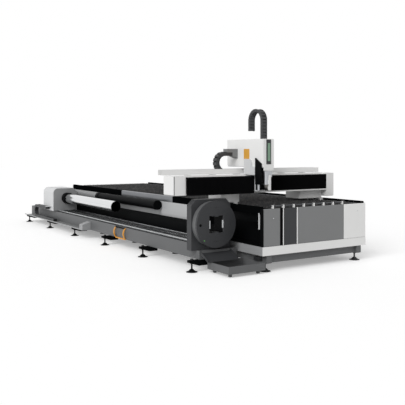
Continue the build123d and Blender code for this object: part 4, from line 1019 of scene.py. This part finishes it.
# %% [markdown]
# ## Dust duct
# The duct that draws off the cutting smoke has a black cap in front and a paler sleeve over its rear
# part. Both are turned about the duct's axis, a hair larger than the solid under them, so that no two
# surfaces fight for the same place.

# %% Duct cap and sleeve
DUCT_X, DUCT_Z, DUCT_RADIUS = -0.100, 0.800, 0.085
# The duct ends where the bed does.
DUCT_START, DUCT_SLEEVE, BED_LENGTH = 3.090, 5.910, 7.830
CAP_LENGTH, CAP_RISE, CAP_EDGE = 0.062, 0.007, 0.006

cap_radius = DUCT_RADIUS + CAP_RISE
cap_profile = [(0, 0), (cap_radius - CAP_EDGE, 0), (cap_radius, CAP_EDGE), (cap_radius, CAP_LENGTH),
               (DUCT_RADIUS - CAP_EDGE, CAP_LENGTH)]
cap = turned(cap_profile, from_bed((DUCT_X, DUCT_START - MILLIMETRE, DUCT_Z)), (0, 1, 0))
add_piece("duct_cap", cap, black_coat, "base", weld=True)
sleeve_radius = DUCT_RADIUS + MILLIMETRE
sleeve_profile = [(sleeve_radius, 0), (sleeve_radius, BED_LENGTH - DUCT_SLEEVE - 2 * MILLIMETRE)]
sleeve = turned(sleeve_profile, from_bed((DUCT_X, DUCT_SLEEVE, DUCT_Z)), (0, 1, 0))
add_piece("duct_sleeve", sleeve, mid_grey_coat, "base", smooth=True)
print("duct sleeve:", round(BED_LENGTH - DUCT_SLEEVE, 3), "m")

# %% [markdown]
# ## Face of the rear housing
# A thin plate in a darker grey lies over the front of the rear chuck's housing and paints the shade on
# that face, with a round hole for the hub. It is a ruled surface: at every angle it runs from the hole's
# circle out to the housing's outline, which is round at one upper corner and cut off at the other.

# %% Rear face plate
FACE_X, FACE_Z = (-0.790, -0.205), (0.412, 0.944)
FACE_ROUND, FACE_CUT, FACE_INSET = 0.110, 0.090, 0.003
FACE_THICKNESS, HUB_CLEARANCE = 0.003, 0.004
FACE_STEPS = 160
ARC_EDGES = 9
NO_DIVISION_BY_ZERO = 1e-6


def ruled_plate(centre, normals, offsets, hole_centre, hole_radius, front, back):
    """From a circle to straight edges: a ray ends at its nearest edge, offset / (normal . ray)."""
    angle = np.linspace(0, 2 * np.pi, FACE_STEPS, endpoint=False)
    ray = np.column_stack([np.cos(angle), np.sin(angle)])
    facing = np.maximum(ray @ normals.T, NO_DIVISION_BY_ZERO)
    outer = centre + (offsets / facing).min(axis=1)[:, None] * ray
    inner = hole_centre + hole_radius * ray
    rings = [(inner, back), (inner, front), (outer, front), (outer, back)]
    points = [np.insert(ring, 1, depth, axis=1) for ring, depth in rings]
    return np.concatenate(points), grid_faces(len(rings), FACE_STEPS, close_rows=True, close_columns=True)


# Edges: the foot, the inner side, the cut corner, then the top, the round corner and the outer side.
half_x, half_z = np.ptp(FACE_X) / 2, np.ptp(FACE_Z) / 2
edge_angles = np.radians([270, 0, 45, *np.linspace(90, 180, ARC_EDGES)])
edge_normals = np.column_stack([np.cos(edge_angles), np.sin(edge_angles)])
arc_offsets = edge_normals[-ARC_EDGES:] @ (FACE_ROUND - half_x, half_z - FACE_ROUND) + FACE_ROUND
cut_offset = (half_x + half_z - FACE_CUT) / np.sqrt(2)
edge_offsets = np.array([half_z, half_x, cut_offset, *arc_offsets]) - FACE_INSET

hub_low, hub_high = node_box("rear_hub")
hub_centre = ((hub_low + hub_high) / 2)[[0, 2]]
hole_radius = (hub_high[0] - hub_low[0]) / 2 + HUB_CLEARANCE
face_centre = from_bed((np.mean(FACE_X), 0, np.mean(FACE_Z)))[[0, 2]]
housing_front = node_box("rear_housing")[0][1]
face = ruled_plate(face_centre, edge_normals, edge_offsets, hub_centre, hole_radius,
                   housing_front - FACE_THICKNESS, housing_front)
# The plate's darker grey is painted shade on the housing's front face.
add_piece("rear_face_painted_shade", face, stone_grey_coat, "rear_slide", weld=True)
print("rear face plate: hole radius", round(hole_radius, 3), "m")

# %% [markdown]
# ## Tube bed
# The tube bed's top is dark between its bright rails, and a black bar crosses the hoops. Both are
# boxes whose places are measured from the pieces that they lie on, so they fit those pieces.

# %% Bed top and hoop bar
TOP_PLATE, TOP_EDGE = 0.0015, 0.006
BAR_INSET, BAR_HEIGHT, BAR_THICKNESS = 0.016, 0.024, 0.018

bed_low, bed_high = node_box("tube_bed")
rails_low, rails_high = node_box("tube_rails")
plate_low = (bed_low[0] + TOP_EDGE, rails_low[1], rails_low[2])
plate_high = (bed_high[0] - TOP_EDGE, rails_high[1], rails_low[2] + TOP_PLATE)
add_piece("tube_bed_top", boxes(plate_low, plate_high), black_coat, "base")

hoop_low, hoop_high = node_box("guard_hoops")
bar_low = (bed_low[0] - BAR_THICKNESS, hoop_low[1] + BAR_INSET, hoop_high[2] - BAR_HEIGHT)
bar_high = (bed_low[0], hoop_high[1] - BAR_INSET, hoop_high[2] + MILLIMETRE)
add_piece("hoop_bar", boxes(bar_low, bar_high), black_coat, "base", bevel=2 * MILLIMETRE)
print("tube bed length:", round(bed_high[1] - bed_low[1], 3), "m")

# %% [markdown]
# ## Levelling feet
# Each levelling stud has a lock nut under its arm, which is a turned shape with only six sides. A wide
# thin brim lies under each foot, with a low dome round the stud. On the outer side of the tube bed the
# front three studs come up through their arms, and have a second nut on top.

# %% Lock nuts and foot brims
NUT_RADIUS, NUT_HEIGHT, NUT_EDGE, NUT_SIDES = 0.024, 0.022, 0.003, 6
BED_STUD_X, BED_STUD_ROWS, BED_STUD_INSET, BED_ARM_FOOT = (0.140, 2.040), 5, 0.120, 0.130
TUBE_STUD_X, TUBE_STUD_ROWS, TUBE_STUD_START, TUBE_STUD_PITCH = (-0.830, -0.150), 6, 0.660, 1.614
TUBE_ARM_FOOT, TUBE_ARM_TOP, OPEN_ROWS = 0.144, 0.180, 3
BRIM_PROFILE = (
    (0, 0), (0.086, 0), (0.088, 0.004), (0.082, 0.009), (0.048, 0.013), (0.040, 0.026), (0.020, 0.044))

nut_flat = NUT_RADIUS - NUT_EDGE
nut_profile = [(0, 0), (nut_flat, 0), (NUT_RADIUS, NUT_EDGE), (NUT_RADIUS, NUT_HEIGHT - NUT_EDGE),
               (nut_flat, NUT_HEIGHT), (0, NUT_HEIGHT)]
nut = turned(nut_profile, (0, 0, 0), (0, 0, 1), segments=NUT_SIDES)
bed_rows = np.linspace(BED_STUD_INSET, BED_LENGTH - BED_STUD_INSET, BED_STUD_ROWS)
tube_rows = TUBE_STUD_START + TUBE_STUD_PITCH * np.arange(TUBE_STUD_ROWS)
nut_places = [(x, y, BED_ARM_FOOT - NUT_HEIGHT) for x in BED_STUD_X for y in bed_rows]
nut_places += [(x, y, TUBE_ARM_FOOT - NUT_HEIGHT) for x in TUBE_STUD_X for y in tube_rows]
brim_places = np.multiply(nut_places, (1, 1, 0))
nut_places += [(TUBE_STUD_X[0], y, TUBE_ARM_TOP) for y in tube_rows[:OPEN_ROWS]]
nuts = copies(nut, from_bed(nut_places))
add_piece("lock_nuts", nuts, foot_rubber, "base", weld=True)

brim = turned(BRIM_PROFILE, (0, 0, 0), (0, 0, 1), segments=32)
brims = copies(brim, from_bed(brim_places))
add_piece("foot_brims", brims, foot_rubber, "base", weld=True)
print("lock nuts:", len(nut_places), "feet:", len(brim_places))

# %% [markdown]
# ## Front chuck
# The left and right jaws have ground steel pads, which ride with their jaws. A pad is a box over the
# jaw's end, a hair larger on the sides that show. The square passage through the disc is lined in
# black, clear of the jaws and of the largest tube.

# %% Jaw pads and passage
TUBE_AXIS_X, TUBE_AXIS_Z = -0.460, 0.706
PAD_THICKNESS, PAD_DEPTH, PAD_HALF, PAD_SKIN = 0.014, 0.025, 0.060, 0.0006
PASSAGE_HALF, PASSAGE_LINING, PASSAGE_Y = 0.131, 0.0015, (0.570, 0.792)


def jaw_pad(jaw, way):
    """A steel pad over the inner end of a jaw, which points left or right from the tube."""
    low, high = node_box(jaw)
    inner = low[0] if way > 0 else high[0]
    ends = np.sort([inner - way * PAD_SKIN, inner + way * PAD_THICKNESS])
    pad_low = (ends[0], low[1] - PAD_SKIN, TUBE_AXIS_Z - PAD_HALF - PAD_SKIN)
    pad_high = (ends[1], low[1] + PAD_DEPTH, TUBE_AXIS_Z + PAD_HALF + PAD_SKIN)
    add_piece(jaw + "_pad", boxes(pad_low, pad_high), ground_steel, jaw, bevel=MILLIMETRE)


jaw_pad("front_jaw_1", 1)
jaw_pad("front_jaw_3", -1)

edges = [(-PASSAGE_HALF, PASSAGE_LINING - PASSAGE_HALF), (PASSAGE_HALF - PASSAGE_LINING, PASSAGE_HALF)]
whole = (-PASSAGE_HALF, PASSAGE_HALF)
walls = [(edge, whole) for edge in edges] + [(whole, edge) for edge in edges]
passage = bed_boxes(*[
    (np.add(across, TUBE_AXIS_X), PASSAGE_Y, np.add(rise, TUBE_AXIS_Z)) for across, rise in walls])
add_piece("passage_lining", passage, black_coat, "front_chuck")
print("passage:", 2 * PASSAGE_HALF, "m square")

# %% [markdown]
# ## Face of the front chuck
# The disc has one open bore and a small green lamp. The bore could be cut out with a boolean, but at this
# size a shallow black cup, which paints the shade inside the hole, looks the same and leaves the imported
# mesh alone. The lamp is a quarter of an ellipse, turned into a dome.

# %% Bore and lamp
BORE_X, BORE_RADIUS, BORE_DEPTH = -0.750, 0.021, 0.004
LAMP_X, LAMP_Z, LAMP_RADIUS, LAMP_RISE, LAMP_RINGS = -0.681, 0.472, 0.009, 0.006, 7

disc_face = node_box("chuck_disc")[0][1] - bed_corner[1]
bore_profile = [(0, BORE_DEPTH), (BORE_RADIUS, BORE_DEPTH), (BORE_RADIUS, 0)]
bore_place = from_bed((BORE_X, disc_face - MILLIMETRE + BORE_DEPTH, TUBE_AXIS_Z))
bore = turned(bore_profile, bore_place, (0, -1, 0), segments=32)
# The black of this cup is painted shade inside the bore.
add_piece("bore_painted_shade", bore, black_coat, "front_chuck", weld=True)

lamp_angle = np.linspace(0, np.pi / 2, LAMP_RINGS)
lamp_profile = np.column_stack([LAMP_RADIUS * np.cos(lamp_angle), LAMP_RISE * np.sin(lamp_angle)])
lamp = turned(lamp_profile, from_bed((LAMP_X, disc_face, LAMP_Z)), (0, -1, 0), segments=32)
add_piece("chuck_lamp", lamp, lamp_green, "front_chuck", smooth=True, weld=True)
print("disc face at", round(disc_face, 3), "m behind the bed's front")

# %% [markdown]
# ## Head cover
# A tall window in a dark frame stands on the cover's front, and a plain amber plate on its side. They
# are boxes that stand out a few millimetres, with edges round enough to show. A grey sheath covers
# the chain's bracket: its outline, seen from the front, is drawn out in depth.

# %% Window, plate and sheath
FRAME_X, FRAME_DEPTH, FRAME_RISE = (0.387, 0.481), (0.394, 0.404), (1.613, 2.005)
WINDOW_X, WINDOW_DEPTH, WINDOW_RISE = (0.411, 0.461), (0.390, 0.398), (1.664, 1.948)
PLATE_X, PLATE_Y, PLATE_RISE = (0.3265, 0.331), (0.766, 0.916), (1.677, 1.856)
BRACKET_Y, BRACKET_DEPTH = 1.140, 0.104
BRACKET_OUTLINE = (
    (0.226, 1.736), (0.226, 1.800), (0.108, 1.800), (0.108, 1.858), (0.329, 1.858), (0.329, 1.698))

window_frame = bed_boxes((FRAME_X, FRAME_DEPTH, FRAME_RISE))
add_piece("window_frame", window_frame, dark_grey_coat, "carriage", bevel=4 * MILLIMETRE)
window = bed_boxes((WINDOW_X, WINDOW_DEPTH, WINDOW_RISE))
add_piece("cover_window", window, green_window, "carriage", bevel=3 * MILLIMETRE)
plate = bed_boxes((PLATE_X, PLATE_Y, PLATE_RISE))
add_piece("amber_plate", plate, amber_enamel, "carriage", bevel=MILLIMETRE)

sheath_points, sheath_faces = extruded(BRACKET_OUTLINE, BRACKET_DEPTH)
sheath = (from_bed(sheath_points + (0, BRACKET_Y, 0)), sheath_faces)
add_piece("bracket_sheath", sheath, mid_grey_coat, "carriage", bevel=2 * MILLIMETRE,
          weld=True)
print("window height:", round(WINDOW_RISE[1] - WINDOW_RISE[0], 3), "m")

# %% [markdown]
# ## Cutting head
# At the head a turned gas valve and a pale sensor block stand out, under a white apron on the cover.
# The sensor block goes up and down with the head, and the valve and the apron stay on the carriage. A
# grey seam closes the gantry's left end cover.

# %% Valve, sensor, apron and seam
VALVE_X, VALVE_Y, VALVE_RISE, VALVE_RADIUS = 0.340, 0.540, (1.195, 1.310), 0.022
SENSOR_X, SENSOR_Y, SENSOR_RISE = (0.450, 0.486), (0.404, 0.442), (1.198, 1.440)
NOTCH_X, NOTCH_RISE = (0.438, 0.450), (1.300, 1.360)
APRON_X, APRON_Y, APRON_RISE = (0.328, 0.530), (0.392, 0.399), (1.512, 1.580)
COVER_SEAM_X, COVER_SEAM_Y, COVER_SEAM_RISE = (-1.091, -1.076), (0.749, 0.752), (1.150, 1.438)

valve_height = VALVE_RISE[1] - VALVE_RISE[0]
valve_profile = [(0, 0), (VALVE_RADIUS, 0), (VALVE_RADIUS, valve_height), (0, valve_height)]
valve = turned(valve_profile, from_bed((VALVE_X, VALVE_Y, VALVE_RISE[0])), (0, 0, 1), segments=32)
add_piece("gas_valve", valve, head_aluminium, "carriage", bevel=3 * MILLIMETRE,
          weld=True)
sensor = bed_boxes((SENSOR_X, SENSOR_Y, SENSOR_RISE), (NOTCH_X, SENSOR_Y, NOTCH_RISE))
add_piece("sensor_block", sensor, white_coat, "cutting_head", bevel=2 * MILLIMETRE)
apron = bed_boxes((APRON_X, APRON_Y, APRON_RISE))
add_piece("head_apron", apron, white_coat, "carriage", bevel=3 * MILLIMETRE)
cover_seam = bed_boxes((COVER_SEAM_X, COVER_SEAM_Y, COVER_SEAM_RISE))
add_piece("end_cover_seam", cover_seam, mid_grey_coat, "gantry")
print("valve height:", round(valve_height, 3), "m")
